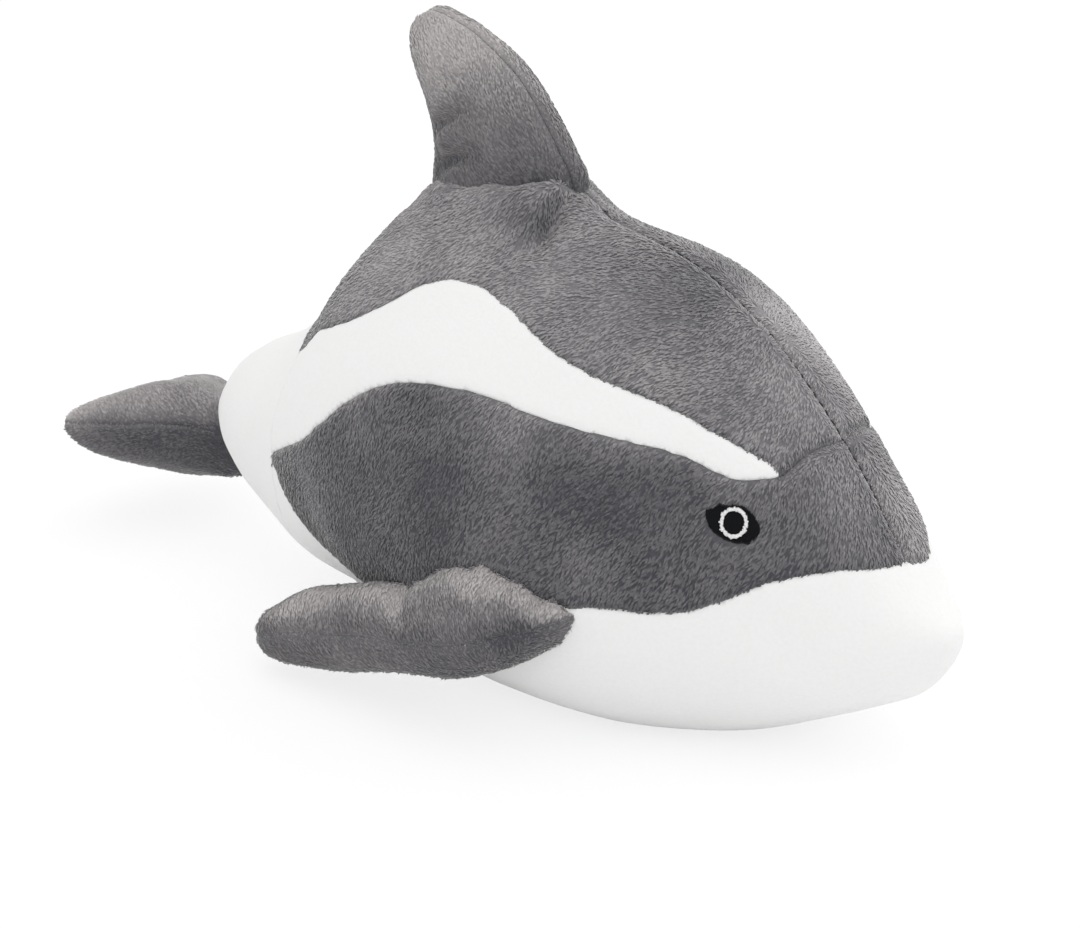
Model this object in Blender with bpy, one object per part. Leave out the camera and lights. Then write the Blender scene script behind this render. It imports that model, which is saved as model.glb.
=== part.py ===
"""Stuffed plush dolphin lying on its belly: sewn skin panels, padded fins and embroidered eyes.

Head along +X, right flank along -Y, floor at Z = 0. All sizes are in metres.
"""
import math

import bmesh
import bpy
import numpy as np
from mathutils import Matrix

# Whole body
BODY_LENGTH = 0.3010
BODY_HEIGHT = 0.157
BODY_HALF_WIDTH = 0.072
BELLY_SQUARENESS = 0.75
FLOOR_BLEND = 0.003

# Cloth and stuffing
SKIN = 0.0020
SEAM_GAP = 0.0003
STUFFING_GAP = 0.0018
FILLING_GAP = 0.0009

# Seams along the body, as ring numbers counted from the tail end
TAIL_SEAM = 3.05
BAND_FRONT = 9.45
DART_TOP = 9.71
FACE_FRONT = 11.10

# Back fin
BACK_FIN_REAR = -0.0515
BACK_FIN_CHORD = 0.0600
BACK_FIN_HEIGHT = 0.0755
BACK_FIN_FOOT = 0.828
BACK_FIN_HALF_THICK = 0.0165

# Tail fluke
FLUKE_SET_IN = 0.0130
FLUKE_LENGTH = 0.0610
FLUKE_HALF_SPAN = 0.0390
FLUKE_HALF_THICK = 0.0120
FLUKE_UNDERSIDE = 1.65
FLUKE_LEVEL = 0.0392
FLUKE_DROOP = 0.0070
FLUKE_ROLL = math.radians(5.0)

# Pectoral fins
PECTORAL_LENGTH = 0.1200
PECTORAL_HALF_THICK = 0.0150
PECTORAL_UNDERSIDE = 1.08

# Eyes
EYE_AT = (9.21, 0.32)
EYE_PATCH_HALF_LENGTH = 0.0096
EYE_PATCH_HALF_HEIGHT = 0.0061
EYE_PATCH_TILT = math.radians(20.0)
EYE_RING_OUTER = 0.0049
EYE_RING_INNER = 0.0034
EYE_PATCH_THREAD = 0.0007
EYE_RING_THREAD = 0.0009

# Colours
GRAY_PLUSH = (0.20, 0.19, 0.195)
FIN_PLUSH = (0.22, 0.21, 0.215)
WHITE_PLUSH = (0.86, 0.86, 0.86)
FILLING_COLOR = (0.90, 0.89, 0.86)
BLACK_THREAD = (0.012, 0.012, 0.014)
WHITE_THREAD = (0.88, 0.88, 0.88)

# Facets
ROWS_PER_RING = 3
BACK_COLUMNS = 4
BAND_COLUMNS = 3
FACE_COLUMNS = 4
BELLY_COLUMNS = 6
FIN_COLUMNS = 6
EYE_STEPS = 20

# One ring per row: place along the body, top, widest level and underside as parts of the
# body height, half width as a part of the greatest half width, and how pointed the back is.
BODY_RINGS = (
    (0.000, 0.306, 0.306, 0.306, 0.000, 1.34),
    (0.060, 0.478, 0.318, 0.191, 0.278, 1.38),
    (0.146, 0.557, 0.350, 0.102, 0.458, 1.42),
    (0.218, 0.682, 0.389, 0.064, 0.625, 1.45),
    (0.279, 0.834, 0.427, 0.064, 0.771, 1.47),
    (0.346, 0.943, 0.433, 0.057, 0.882, 1.50),
    (0.429, 1.000, 0.408, 0.013, 0.965, 1.50),
    (0.538, 0.968, 0.363, -0.034, 1.000, 1.43),
    (0.678, 0.904, 0.318, -0.034, 0.917, 1.17),
    (0.794, 0.748, 0.274, 0.013, 0.694, 1.06),
    (0.882, 0.570, 0.261, 0.076, 0.486, 1.03),
    (0.930, 0.420, 0.261, 0.115, 0.347, 1.00),
    (0.967, 0.344, 0.261, 0.159, 0.250, 0.98),
    (1.000, 0.283, 0.283, 0.283, 0.000, 0.95),
)
LAST_RING = len(BODY_RINGS) - 1

# Seam lines: ring number and how far round from the back (0) to the belly (1).
BAND_TOP_SEAM = (
    (3.05, 0.270), (4.67, 0.310), (5.60, 0.285), (6.17, 0.247), (6.68, 0.228),
    (7.25, 0.242), (7.83, 0.258), (8.67, 0.238), (9.06, 0.224), (9.45, 0.205),
)
DART_SEAM = ((9.45, 0.205), (9.71, 0.000))
BAND_LOW_SEAM = (
    (3.05, 0.508), (4.54, 0.465), (5.41, 0.400), (5.90, 0.367), (6.40, 0.340), (6.96, 0.322),
    (7.81, 0.315), (8.29, 0.300), (8.82, 0.270), (9.13, 0.250), (9.45, 0.205),
)
BELLY_SEAM = (
    (3.05, 0.520), (3.35, 0.570), (3.83, 0.640), (4.52, 0.690), (5.37, 0.690), (6.40, 0.645),
    (7.40, 0.545), (8.13, 0.490), (9.00, 0.452), (9.34, 0.420), (9.84, 0.350), (10.27, 0.290),
    (10.99, 0.090), (11.10, 0.000),
)

# Back fin edges: part of the fin height, part of the chord from the rear foot.
BACK_FIN_REAR_EDGE = (
    (0.00, 0.02), (0.27, 0.02), (0.50, 0.00), (0.69, -0.11), (0.82, -0.16), (0.93, -0.11), (1.00, 0.06),
)
BACK_FIN_FRONT_EDGE = (
    (0.00, 1.08), (0.38, 0.96), (0.60, 0.80), (0.69, 0.72), (0.84, 0.50), (0.94, 0.31), (1.00, 0.06),
)
BACK_FIN_ROWS = (0.0, 0.13, 0.26, 0.38, 0.49, 0.60, 0.70, 0.79, 0.87, 0.935, 0.98, 1.0)

# Fluke edges: part of the half span, part of the fluke length toward the rear.
FLUKE_FRONT_EDGE = ((0.0, -0.06), (0.33, 0.34), (0.55, 0.54), (0.73, 0.68), (0.90, 0.82), (1.0, 0.900))
FLUKE_REAR_EDGE = ((0.0, 0.975), (0.25, 1.00), (0.50, 0.995), (0.75, 0.972), (0.90, 0.945), (1.0, 0.900))
FLUKE_ROWS = (0.0, 0.15, 0.30, 0.45, 0.60, 0.74, 0.86, 0.95, 1.0)

# Right pectoral fin, from its root inside the flank to its tip: place along the fin, then x and z
# of an edge as parts of the fin length and y in parts of the body half width.
PECTORAL_FRONT_EDGE = (
    (0.00, 0.488, -0.694, 0.371), (0.10, 0.471, -0.889, 0.354), (0.20, 0.404, -1.056, 0.321),
    (0.32, 0.271, -1.139, 0.296), (0.45, 0.088, -1.146, 0.262), (0.60, -0.112, -1.125, 0.221),
    (0.75, -0.296, -1.111, 0.171), (0.87, -0.421, -1.097, 0.133), (0.95, -0.496, -1.069, 0.108),
    (1.00, -0.538, -1.014, 0.096),
)
PECTORAL_REAR_EDGE = (
    (0.00, 0.088, -0.667, 0.404), (0.10, 0.054, -0.806, 0.404), (0.20, 0.021, -0.917, 0.371),
    (0.32, -0.046, -0.931, 0.304), (0.45, -0.146, -0.903, 0.238), (0.60, -0.262, -0.861, 0.179),
    (0.75, -0.379, -0.861, 0.138), (0.87, -0.462, -0.903, 0.108), (0.95, -0.512, -0.965, 0.100),
    (1.00, -0.538, -1.014, 0.096),
)
PECTORAL_PADDING = (
    (0.00, 1.00), (0.10, 1.08), (0.20, 1.13), (0.30, 1.13), (0.40, 0.94), (0.50, 0.92), (0.60, 0.95),
    (0.75, 0.82), (0.87, 0.62), (0.95, 0.40), (1.00, 0.00),
)
PECTORAL_ROWS = (0.0, 0.10, 0.20, 0.30, 0.38, 0.46, 0.56, 0.66, 0.76, 0.86, 0.94, 0.98, 1.0)


def smooth_value(stations, place):
    """Value at a place on a smooth line through (place, value) stations."""
    places = [row[0] for row in stations]
    values = [row[1] for row in stations]
    if place <= places[0]:
        return values[0]
    if place >= places[-1]:
        return values[-1]
    k = 0
    while places[k + 1] < place:
        k += 1
    span = places[k + 1] - places[k]
    chord = (values[k + 1] - values[k]) / span
    before = chord
    after = chord
    if k > 0:
        before = 0.5 * (chord + (values[k] - values[k - 1]) / (places[k] - places[k - 1]))
    if k + 2 < len(places):
        after = 0.5 * (chord + (values[k + 2] - values[k + 1]) / (places[k + 2] - places[k + 1]))
    t = (place - places[k]) / span
    rise = span * (before * t * (1 - t) ** 2 - after * t * t * (1 - t))
    return values[k] + (values[k + 1] - values[k]) * t * t * (3 - 2 * t) + rise


def sized_ring(k):
    """One body ring at full size: x, top, widest level, underside, half width, pointedness."""
    along, top, wide, low, half, pointed = BODY_RINGS[k]
    return np.array((
        (along - 0.5) * BODY_LENGTH,
        top * BODY_HEIGHT,
        wide * BODY_HEIGHT,
        low * BODY_HEIGHT,
        half * BODY_HALF_WIDTH,
        pointed,
    ))


def ring_near(k):
    """A ring, or its mirror beyond either end, so that both ends round off."""
    if 0 <= k <= LAST_RING:
        return sized_ring(k)
    inner = sized_ring(1 if k < 0 else LAST_RING - 1)
    return np.array((inner[0], inner[3], inner[2], inner[1], -inner[4], inner[5]))


def ring_at(place):
    """Smooth ring between the neighbouring rings."""
    k = min(int(place), LAST_RING - 1)
    t = place - k
    a, b, c, d = (ring_near(k + step) for step in (-1, 0, 1, 2))
    slope = -a + c
    bend = 2 * a - 5 * b + 4 * c - d
    twist = -a + 3 * b - 3 * c + d
    return 0.5 * (2 * b + slope * t + bend * t * t + twist * t ** 3)


def rest_on_floor(z):
    """Flatten what would reach below the floor, with a soft edge."""
    if z >= FLOOR_BLEND:
        return z
    if z <= -FLOOR_BLEND:
        return 0.0
    return (z + FLOOR_BLEND) ** 2 / (4 * FLOOR_BLEND)


def skin_point(place, around):
    """Point of the sewn surface. Around is 0 on the back, 1 under the belly, negative on the left."""
    x, top, wide, low, half, pointed = ring_at(place)
    angle = abs(around) * math.pi
    side = -1.0 if around >= 0 else 1.0
    lift = math.cos(angle)
    if lift > 0:
        y = half * max(math.sin(angle), 0.0) ** pointed
        z = wide + (top - wide) * lift
    else:
        y = half * max(math.sin(angle), 0.0) ** BELLY_SQUARENESS
        z = wide + (wide - low) * lift
    return np.array((x, side * y, rest_on_floor(z)))


def skin_slopes(place, around):
    """Directions along the body and round it, per unit of place and of around."""
    step = 0.01
    here = min(max(place, 0.02), LAST_RING - 0.02)
    along = skin_point(here + step, around) - skin_point(here - step, around)
    lower = skin_point(here, around - step) if abs(around - step) <= 1 else skin_point(here, around)
    upper = skin_point(here, around + step) if abs(around + step) <= 1 else skin_point(here, around)
    return along / (2 * step), (upper - lower) / (2 * step)


def skin_normal(place, around):
    """Outward direction of the sewn surface."""
    if place < 0.02:
        return np.array((-1.0, 0.0, 0.0))
    if place > LAST_RING - 0.02:
        return np.array((1.0, 0.0, 0.0))
    if abs(around) < 0.001:
        around = 0.0
    if abs(around) > 0.999:
        around = 1.0
    step = 0.01
    along, _ = skin_slopes(place, around)
    if around in (0.0, 1.0):
        across = np.array((0.0, -1.0 if around == 0.0 else 1.0, 0.0))
    else:
        across = skin_point(place, around + step) - skin_point(place, around - step)
    normal = np.cross(across, along)
    normal /= np.linalg.norm(normal)
    return normal


def seam_allowance(seam, place, around):
    """Half the seam gap, measured round the body at one point of a seam."""
    step = 0.02
    drift = (smooth_value(seam, place + step) - smooth_value(seam, place - step)) / (2 * step)
    along, across = skin_slopes(place, around)
    run = along + across * drift
    reach = np.linalg.norm(np.cross(across, run)) / max(np.linalg.norm(run), 1e-9)
    return 0.5 * SEAM_GAP / max(reach, 1e-4)


def rows_between(start, stop):
    """Shared row places, so that neighbouring panels meet point for point."""
    shared = [k / ROWS_PER_RING for k in range(LAST_RING * ROWS_PER_RING + 1)]
    shared += [BAND_FRONT, DART_TOP, 9.54, 9.63, 10.80, 10.92, 11.04, FACE_FRONT + 0.01]
    shared = sorted(row for row in shared if start + 0.035 < row < stop - 0.015)
    rows = [start]
    for row in shared:
        if row - rows[-1] > 0.04:
            rows.append(row)
    rows.append(stop)
    return rows


def new_material(name, color, roughness):
    """A plain Principled material."""
    material = bpy.data.materials.new(name)
    material.use_nodes = True
    shader = material.node_tree.nodes["Principled BSDF"]
    shader.inputs["Base Color"].default_value = (*color, 1.0)
    shader.inputs["Roughness"].default_value = roughness
    material.diffuse_color = (*color, 1.0)
    return material


def new_object(name, mesh, color, roughness=0.9):
    """Put a mesh in the scene as one named object with its own material."""
    for polygon in mesh.polygons:
        polygon.use_smooth = True
    thing = bpy.data.objects.new(name, mesh)
    bpy.context.scene.collection.objects.link(thing)
    thing.data.materials.append(new_material(name + "_cloth", color, roughness))
    return thing


def weld_mesh(name, points, faces):
    """Mesh from points and faces, with doubled points welded and faces turned outward."""
    build = bmesh.new()
    verts = [build.verts.new(point) for point in points]
    for face in faces:
        build.faces.new([verts[k] for k in face])
    bmesh.ops.remove_doubles(build, verts=build.verts, dist=0.000002)
    if build.calc_volume(signed=True) < 0:
        bmesh.ops.reverse_faces(build, faces=build.faces)
    mesh = bpy.data.meshes.new(name)
    build.to_mesh(mesh)
    build.free()
    return mesh


def shell_mesh(name, outer, inner, ring=False):
    """Closed sheet of cloth between two grids of points. A ring grid joins its own ends."""
    rows = len(outer)
    columns = len(outer[0])
    points = [p for row in outer for p in row] + [p for row in inner for p in row]
    shift = rows * columns
    faces = []

    def at(r, c):
        return r * columns + c % columns

    def apart(a, b):
        return np.linalg.norm(points[a] - points[b]) > 0.00001

    for r in range(rows - 1):
        for c in range(columns if ring else columns - 1):
            quad = (at(r, c), at(r, c + 1), at(r + 1, c + 1), at(r + 1, c))
            faces.append(quad)
            faces.append(tuple(shift + quad[k] for k in (0, 3, 2, 1)))
    edges = []
    for c in range(columns if ring else columns - 1):
        edges.append((at(0, c + 1), at(0, c)))
        edges.append((at(rows - 1, c), at(rows - 1, c + 1)))
    if not ring:
        for r in range(rows - 1):
            first = (at(r, 0), at(r + 1, 0))
            last = (at(r + 1, columns - 1), at(r, columns - 1))
            if apart(first[0], last[1]) or apart(first[1], last[0]):
                edges.append(first)
                edges.append(last)
    for a, b in edges:
        if apart(a, b):
            faces.append((a, b, shift + b, shift + a))
    return weld_mesh(name, points, faces)


def solid_mesh(name, grid):
    """Closed solid from a ring grid whose first and last rows are single points or flat caps."""
    rows = len(grid)
    columns = len(grid[0])
    points = [p for row in grid for p in row]
    faces = []
    for r in range(rows - 1):
        for c in range(columns):
            d = (c + 1) % columns
            faces.append((r * columns + c, r * columns + d, (r + 1) * columns + d, (r + 1) * columns + c))
    if np.linalg.norm(grid[0][0] - grid[0][columns // 2]) > 0.00001:
        faces.append(tuple(reversed(range(columns))))
    if np.linalg.norm(grid[-1][0] - grid[-1][columns // 2]) > 0.00001:
        faces.append(tuple((rows - 1) * columns + c for c in range(columns)))
    return weld_mesh(name, points, faces)


def skin_grids(rows, spans, columns, depth=SKIN):
    """Outer and inner point grids of a skin panel, from its span round the body at each row."""
    outer = []
    inner = []
    for place, (low, high) in zip(rows, spans):
        outer_row = []
        inner_row = []
        for c in range(columns + 1):
            around = low + (high - low) * c / columns
            if around > 1.0:
                around -= 2.0
            point = skin_point(place, around)
            outer_row.append(point)
            under = point - depth * skin_normal(place, around)
            if 0.0 < around < 0.5:
                under[1] = min(under[1], -0.5 * SEAM_GAP)
            inner_row.append(under)
        outer.append(outer_row)
        inner.append(inner_row)
    return outer, inner


def mirrored(grid):
    """The same grid on the left side."""
    return [[point * np.array((1.0, -1.0, 1.0)) for point in row] for row in grid]


def upper_seam(place):
    """Seam under the back panel at a place: the band's upper edge, then the forehead dart."""
    return BAND_TOP_SEAM if place < BAND_FRONT else DART_SEAM


def end_inset(place):
    """Half the seam gap as a step along the body."""
    along, _ = skin_slopes(place, 0.4)
    return 0.5 * SEAM_GAP / np.linalg.norm(along)


def paired_panels(name, rows, spans, columns, color):
    """A skin panel and its mirror image."""
    outer, inner = skin_grids(rows, spans, columns)
    new_object(name + "_right", shell_mesh(name + "_right", outer, inner), color)
    new_object(name + "_left", shell_mesh(name + "_left", mirrored(outer), mirrored(inner)), color)


def midline_allowance(place):
    """Half the seam gap beside the seam along the back."""
    half = ring_at(place)[4]
    offset = 0.001
    while skin_point(place, offset)[1] > -0.5 * SEAM_GAP and offset < 0.2:
        offset *= 1.15
    return offset if half > 0 else 0.0


def build_back_panels(color):
    """Upper back, one panel each side of the stitched midline, ending in the forehead dart."""
    rows = rows_between(TAIL_SEAM + end_inset(TAIL_SEAM), DART_TOP - 0.03)
    spans = []
    for place in rows:
        seam = upper_seam(place)
        edge = smooth_value(seam, place)
        spans.append((midline_allowance(place), edge - seam_allowance(seam, place, edge)))
    paired_panels("back_panel", rows, spans, BACK_COLUMNS, color)


def build_side_bands(color):
    """White band between the back and the flank."""
    rows = rows_between(TAIL_SEAM + end_inset(TAIL_SEAM), BAND_FRONT - 0.05)
    spans = []
    for place in rows:
        top = smooth_value(BAND_TOP_SEAM, place)
        low = smooth_value(BAND_LOW_SEAM, place)
        spans.append((
            top + seam_allowance(BAND_TOP_SEAM, place, top),
            low - seam_allowance(BAND_LOW_SEAM, place, low),
        ))
    paired_panels("side_band", rows, spans, BAND_COLUMNS, color)


def build_face_panels(color):
    """Flank and face in one panel: under the band, up to the dart, down to the snout."""
    rows = rows_between(TAIL_SEAM + end_inset(TAIL_SEAM), FACE_FRONT - 0.03)
    spans = []
    for place in rows:
        if place < BAND_FRONT:
            seam = BAND_LOW_SEAM
        else:
            seam = DART_SEAM
        top = smooth_value(seam, place)
        if place < DART_TOP:
            start = max(top + seam_allowance(seam, place, top), midline_allowance(place))
        else:
            start = midline_allowance(place)
        low = smooth_value(BELLY_SEAM, place)
        spans.append((start, low - seam_allowance(BELLY_SEAM, place, low)))
    paired_panels("face_panel", rows, spans, FACE_COLUMNS, color)


def build_belly_panel(color):
    """White underside, jaw and muzzle in one piece that wraps over the snout."""
    rows = rows_between(TAIL_SEAM + end_inset(TAIL_SEAM), LAST_RING)
    spans = []
    for place in rows:
        if place > FACE_FRONT + 0.001:
            edge = 0.0
        else:
            edge = smooth_value(BELLY_SEAM, min(place, FACE_FRONT - 0.01))
            edge += seam_allowance(BELLY_SEAM, place, edge)
        spans.append((edge, 2.0 - edge))
    outer, inner = skin_grids(rows, spans, 2 * BELLY_COLUMNS)
    new_object("belly_panel", shell_mesh("belly_panel", outer, inner), color)


def build_tail_piece(color):
    """White cup that closes the tail stock."""
    rows = [0.0, 0.3, 0.8, 1.4, 2.0, 2.6, TAIL_SEAM - end_inset(TAIL_SEAM)]
    columns = 2 * (BACK_COLUMNS + BAND_COLUMNS + BELLY_COLUMNS)
    spans = [(-1.0, 1.0 - 2.0 / columns)] * len(rows)
    outer, inner = skin_grids(rows, spans, columns - 1)
    new_object("tail_piece", shell_mesh("tail_piece", outer, inner, ring=True), color)


def body_grid(rows, columns, depth):
    """Closed ring grid a set depth under the sewn surface, or outside it when negative."""
    grid = []
    for place in rows:
        ring = []
        for c in range(columns):
            around = -1.0 + 2.0 * c / columns
            ring.append(skin_point(place, around) - depth * skin_normal(place, around))
        grid.append(ring)
    return grid


def build_stuffing(color):
    """Stuffing inside the body."""
    rows = [0.0, 0.5, *range(1, LAST_RING), LAST_RING - 0.5, LAST_RING]
    grid = body_grid(rows, 24, SKIN + STUFFING_GAP)
    new_object("body_stuffing", solid_mesh("body_stuffing", grid), color)


def build_fin_cutter():
    """Body shape with the seam gap added, which trims the root of each fin."""
    rows = [k / (2 * ROWS_PER_RING) for k in range(2 * ROWS_PER_RING * LAST_RING + 1)]
    grid = body_grid(rows, 64, -SEAM_GAP)
    cutter = new_object("fin_root_cutter", solid_mesh("fin_root_cutter", grid), (0.5, 0.5, 0.5))
    cutter.hide_render = True
    cutter.display_type = "WIRE"
    return cutter


def trim_to_body(thing, cutter):
    """Cut away what lies inside the body."""
    cut = thing.modifiers.new("trim", "BOOLEAN")
    cut.operation = "DIFFERENCE"
    cut.solver = "EXACT"
    cut.object = cutter


def pad_row(first, second, padding, side, columns, inset, edge):
    """Points from one edge of a padded fin to the other, bulging along one side direction."""
    chord = second - first
    length = np.linalg.norm(chord)
    if length > 1e-6:
        pull = chord / length * min(inset, 0.45 * length)
        first = first + pull
        second = second - pull
    row = []
    for c in range(columns + 1):
        t = 0.5 - 0.5 * math.cos(math.pi * c / columns)
        bulge = (4 * t * (1 - t)) ** 0.62
        point = first + (second - first) * t + side * (edge + max(padding - inset, 0.0) * bulge)
        row.append(np.array((point[0], point[1], rest_on_floor(point[2]))))
    return row


def pad_half(rails, padding, side, columns, inset=0.0):
    """One side of a padded fin as a grid of points."""
    edge = 0.5 * SEAM_GAP
    return [pad_row(a, b, depth, side, columns, inset, edge) for (a, b), depth in zip(rails, padding)]


def pad_filling(rails, padding, side, columns, inset, underside):
    """Closed rings round the filling of a padded fin."""
    grid = []
    for (a, b), depth in zip(rails, padding):
        if depth < 1.4 * inset:
            continue
        upper = pad_row(a, b, depth, side, columns, inset, 0.0)
        lower = pad_row(a, b, depth * underside, -side, columns, inset, 0.0)
        grid.append(upper + list(reversed(lower[1:-1])))
    return grid


def build_padded_fin(name, rails, padding, side, labels, color, cutter, underside=1.0):
    """Two cloth panels sewn edge to edge round a filling, trimmed where they meet the body."""
    columns = FIN_COLUMNS
    for label, direction in zip(labels, (side, -side)):
        depths = padding if direction is side else [depth * underside for depth in padding]
        outer = pad_half(rails, depths, direction, columns)
        inner = pad_half(rails, depths, direction, columns, SKIN)
        panel = new_object(name + "_" + label, shell_mesh(name + "_" + label, outer, inner), color)
        trim_to_body(panel, cutter)
    rings = pad_filling(rails, padding, side, columns, SKIN + FILLING_GAP, underside)
    filling = new_object(name + "_filling", solid_mesh(name + "_filling", rings), FILLING_COLOR)
    trim_to_body(filling, cutter)


def build_back_fin(color, cutter):
    """Upright fin on the back, its tip leaning toward the tail."""
    foot = BACK_FIN_FOOT * BODY_HEIGHT
    rails = []
    padding = []
    for rise in BACK_FIN_ROWS:
        z = foot + rise * BACK_FIN_HEIGHT
        rear = BACK_FIN_REAR + smooth_value(BACK_FIN_REAR_EDGE, rise) * BACK_FIN_CHORD
        front = BACK_FIN_REAR + smooth_value(BACK_FIN_FRONT_EDGE, rise) * BACK_FIN_CHORD
        rails.append((np.array((rear, 0.0, z)), np.array((front, 0.0, z))))
        padding.append(BACK_FIN_HALF_THICK * math.sqrt(1.0 - rise ** 2.2))
    side = np.array((0.0, -1.0, 0.0))
    build_padded_fin("back_fin", rails, padding, side, ("right", "left"), color, cutter)


def build_tail_fluke(color, cutter):
    """Level tail fluke, both lobes in one, swept back."""
    rails = []
    padding = []
    start = FLUKE_SET_IN - 0.5 * BODY_LENGTH
    for part in [-f for f in reversed(FLUKE_ROWS)] + list(FLUKE_ROWS[1:]):
        y = part * FLUKE_HALF_SPAN
        front = start - smooth_value(FLUKE_FRONT_EDGE, abs(part)) * FLUKE_LENGTH
        rear = start - smooth_value(FLUKE_REAR_EDGE, abs(part)) * FLUKE_LENGTH
        droop = FLUKE_DROOP * (front - rear) / FLUKE_LENGTH
        level = FLUKE_LEVEL - y * math.tan(FLUKE_ROLL)
        rails.append((np.array((front, y, level)), np.array((rear, y, level - droop))))
        padding.append(FLUKE_HALF_THICK * max(1.0 - abs(part) ** 1.8, 0.0) ** 0.62)
    side = np.array((0.0, 0.0, 1.0))
    build_padded_fin("tail_fluke", rails, padding, side, ("upper", "lower"), color, cutter, FLUKE_UNDERSIDE)


def edge_point(stations, place, mirror):
    """Point on an edge of a pectoral fin."""
    x = smooth_value([(row[0], row[1]) for row in stations], place) * PECTORAL_LENGTH
    y = smooth_value([(row[0], row[2]) for row in stations], place) * BODY_HALF_WIDTH
    z = smooth_value([(row[0], row[3]) for row in stations], place) * PECTORAL_LENGTH
    return np.array((x, y * mirror, z))


def build_pectoral_fins(color, cutter):
    """Padded fin on each flank, folded back along the body."""
    for label, mirror in (("right", 1.0), ("left", -1.0)):
        rails = []
        padding = []
        for place in PECTORAL_ROWS:
            front = edge_point(PECTORAL_FRONT_EDGE, place, mirror)
            rear = edge_point(PECTORAL_REAR_EDGE, place, mirror)
            rails.append((front, rear))
            padding.append(PECTORAL_HALF_THICK * smooth_value(PECTORAL_PADDING, place))
        side = np.array((0.0, 0.0, 1.0))
        name = "pectoral_fin_" + label
        labels = ("upper", "lower")
        build_padded_fin(name, rails, padding, side, labels, color, cutter, PECTORAL_UNDERSIDE)


def eye_point(along, down, height, mirror):
    """Point over the face, from offsets in metres along and down from the eye centre."""
    run, drop = skin_slopes(*EYE_AT)
    place = EYE_AT[0] + along / np.linalg.norm(run)
    around = EYE_AT[1] + down / np.linalg.norm(drop)
    point = skin_point(place, around) + height * skin_normal(place, around)
    return point * np.array((1.0, mirror, 1.0))


def build_eyes(patch_color, ring_color):
    """Embroidered eye on each side: a dark patch with a pale ring of thread on it."""
    steps = EYE_STEPS
    cos_tilt = math.cos(EYE_PATCH_TILT)
    sin_tilt = math.sin(EYE_PATCH_TILT)
    for label, mirror in (("right", 1.0), ("left", -1.0)):
        base = []
        top = []
        for reach in (0.0, 0.6, 1.0):
            low_row = []
            high_row = []
            for k in range(steps):
                turn = mirror * 2 * math.pi * k / steps
                a = EYE_PATCH_HALF_LENGTH * reach * math.copysign(abs(math.cos(turn)) ** 0.85, math.cos(turn))
                b = EYE_PATCH_HALF_HEIGHT * reach * math.copysign(abs(math.sin(turn)) ** 0.85, math.sin(turn))
                along = a * cos_tilt - b * sin_tilt
                down = a * sin_tilt + b * cos_tilt
                lift = SEAM_GAP + EYE_PATCH_THREAD * (1.0 if reach < 0.99 else 0.7)
                low_row.append(eye_point(along, down, SEAM_GAP, mirror))
                high_row.append(eye_point(along, down, lift, mirror))
            base.append(low_row)
            top.append(high_row)
        name = "eye_patch_" + label
        new_object(name, shell_mesh(name, top, base, ring=True), patch_color, 0.6)
        base = []
        top = []
        for reach in (0.0, 0.5, 1.0):
            radius = EYE_RING_INNER + (EYE_RING_OUTER - EYE_RING_INNER) * reach
            under = 2 * SEAM_GAP + EYE_PATCH_THREAD
            over = under + EYE_RING_THREAD * (0.45 + 0.55 * math.sin(math.pi * reach))
            turns = [mirror * 2 * math.pi * k / steps for k in range(steps)]
            base.append([eye_point(radius * math.cos(t), radius * math.sin(t), under, mirror) for t in turns])
            top.append([eye_point(radius * math.cos(t), radius * math.sin(t), over, mirror) for t in turns])
        name = "eye_ring_" + label
        new_object(name, shell_mesh(name, top, base, ring=True), ring_color, 0.6)


def centre_on_floor():
    """Move every mesh so that the whole toy is centred and stands at Z = 0."""
    bpy.context.view_layer.update()
    graph = bpy.context.evaluated_depsgraph_get()
    low = np.full(3, 1e9)
    high = np.full(3, -1e9)
    for thing in bpy.data.objects:
        if thing.hide_render:
            continue
        mesh = thing.evaluated_get(graph).to_mesh()
        for vertex in mesh.vertices:
            low = np.minimum(low, vertex.co)
            high = np.maximum(high, vertex.co)
    shift = Matrix.Translation((-0.5 * (low[0] + high[0]), -0.5 * (low[1] + high[1]), -low[2]))
    for thing in bpy.data.objects:
        thing.data.transform(shift)


def main():
    """Build every piece in the order it is sewn."""
    for thing in list(bpy.data.objects):
        bpy.data.objects.remove(thing, do_unlink=True)
    build_stuffing(FILLING_COLOR)
    build_tail_piece(WHITE_PLUSH)
    build_belly_panel(WHITE_PLUSH)
    build_face_panels(GRAY_PLUSH)
    build_side_bands(WHITE_PLUSH)
    build_back_panels(GRAY_PLUSH)
    cutter = build_fin_cutter()
    build_back_fin(FIN_PLUSH, cutter)
    build_tail_fluke(FIN_PLUSH, cutter)
    build_pectoral_fins(FIN_PLUSH, cutter)
    build_eyes(BLACK_THREAD, WHITE_THREAD)
    centre_on_floor()


main()
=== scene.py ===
"""Looks of the plush dolphin: sewn padded skin, brushed pile, embroidered eyes and a pale studio.

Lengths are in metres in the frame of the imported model: head along +X, right flank along -Y.
"""
import logging
import math
from dataclasses import dataclass, field
from enum import Enum
from typing import Callable, Dict, List, Sequence, Tuple

import bmesh
import bpy
import numpy as np
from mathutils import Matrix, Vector
from mathutils.bvhtree import BVHTree
from mathutils.kdtree import KDTree


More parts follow.
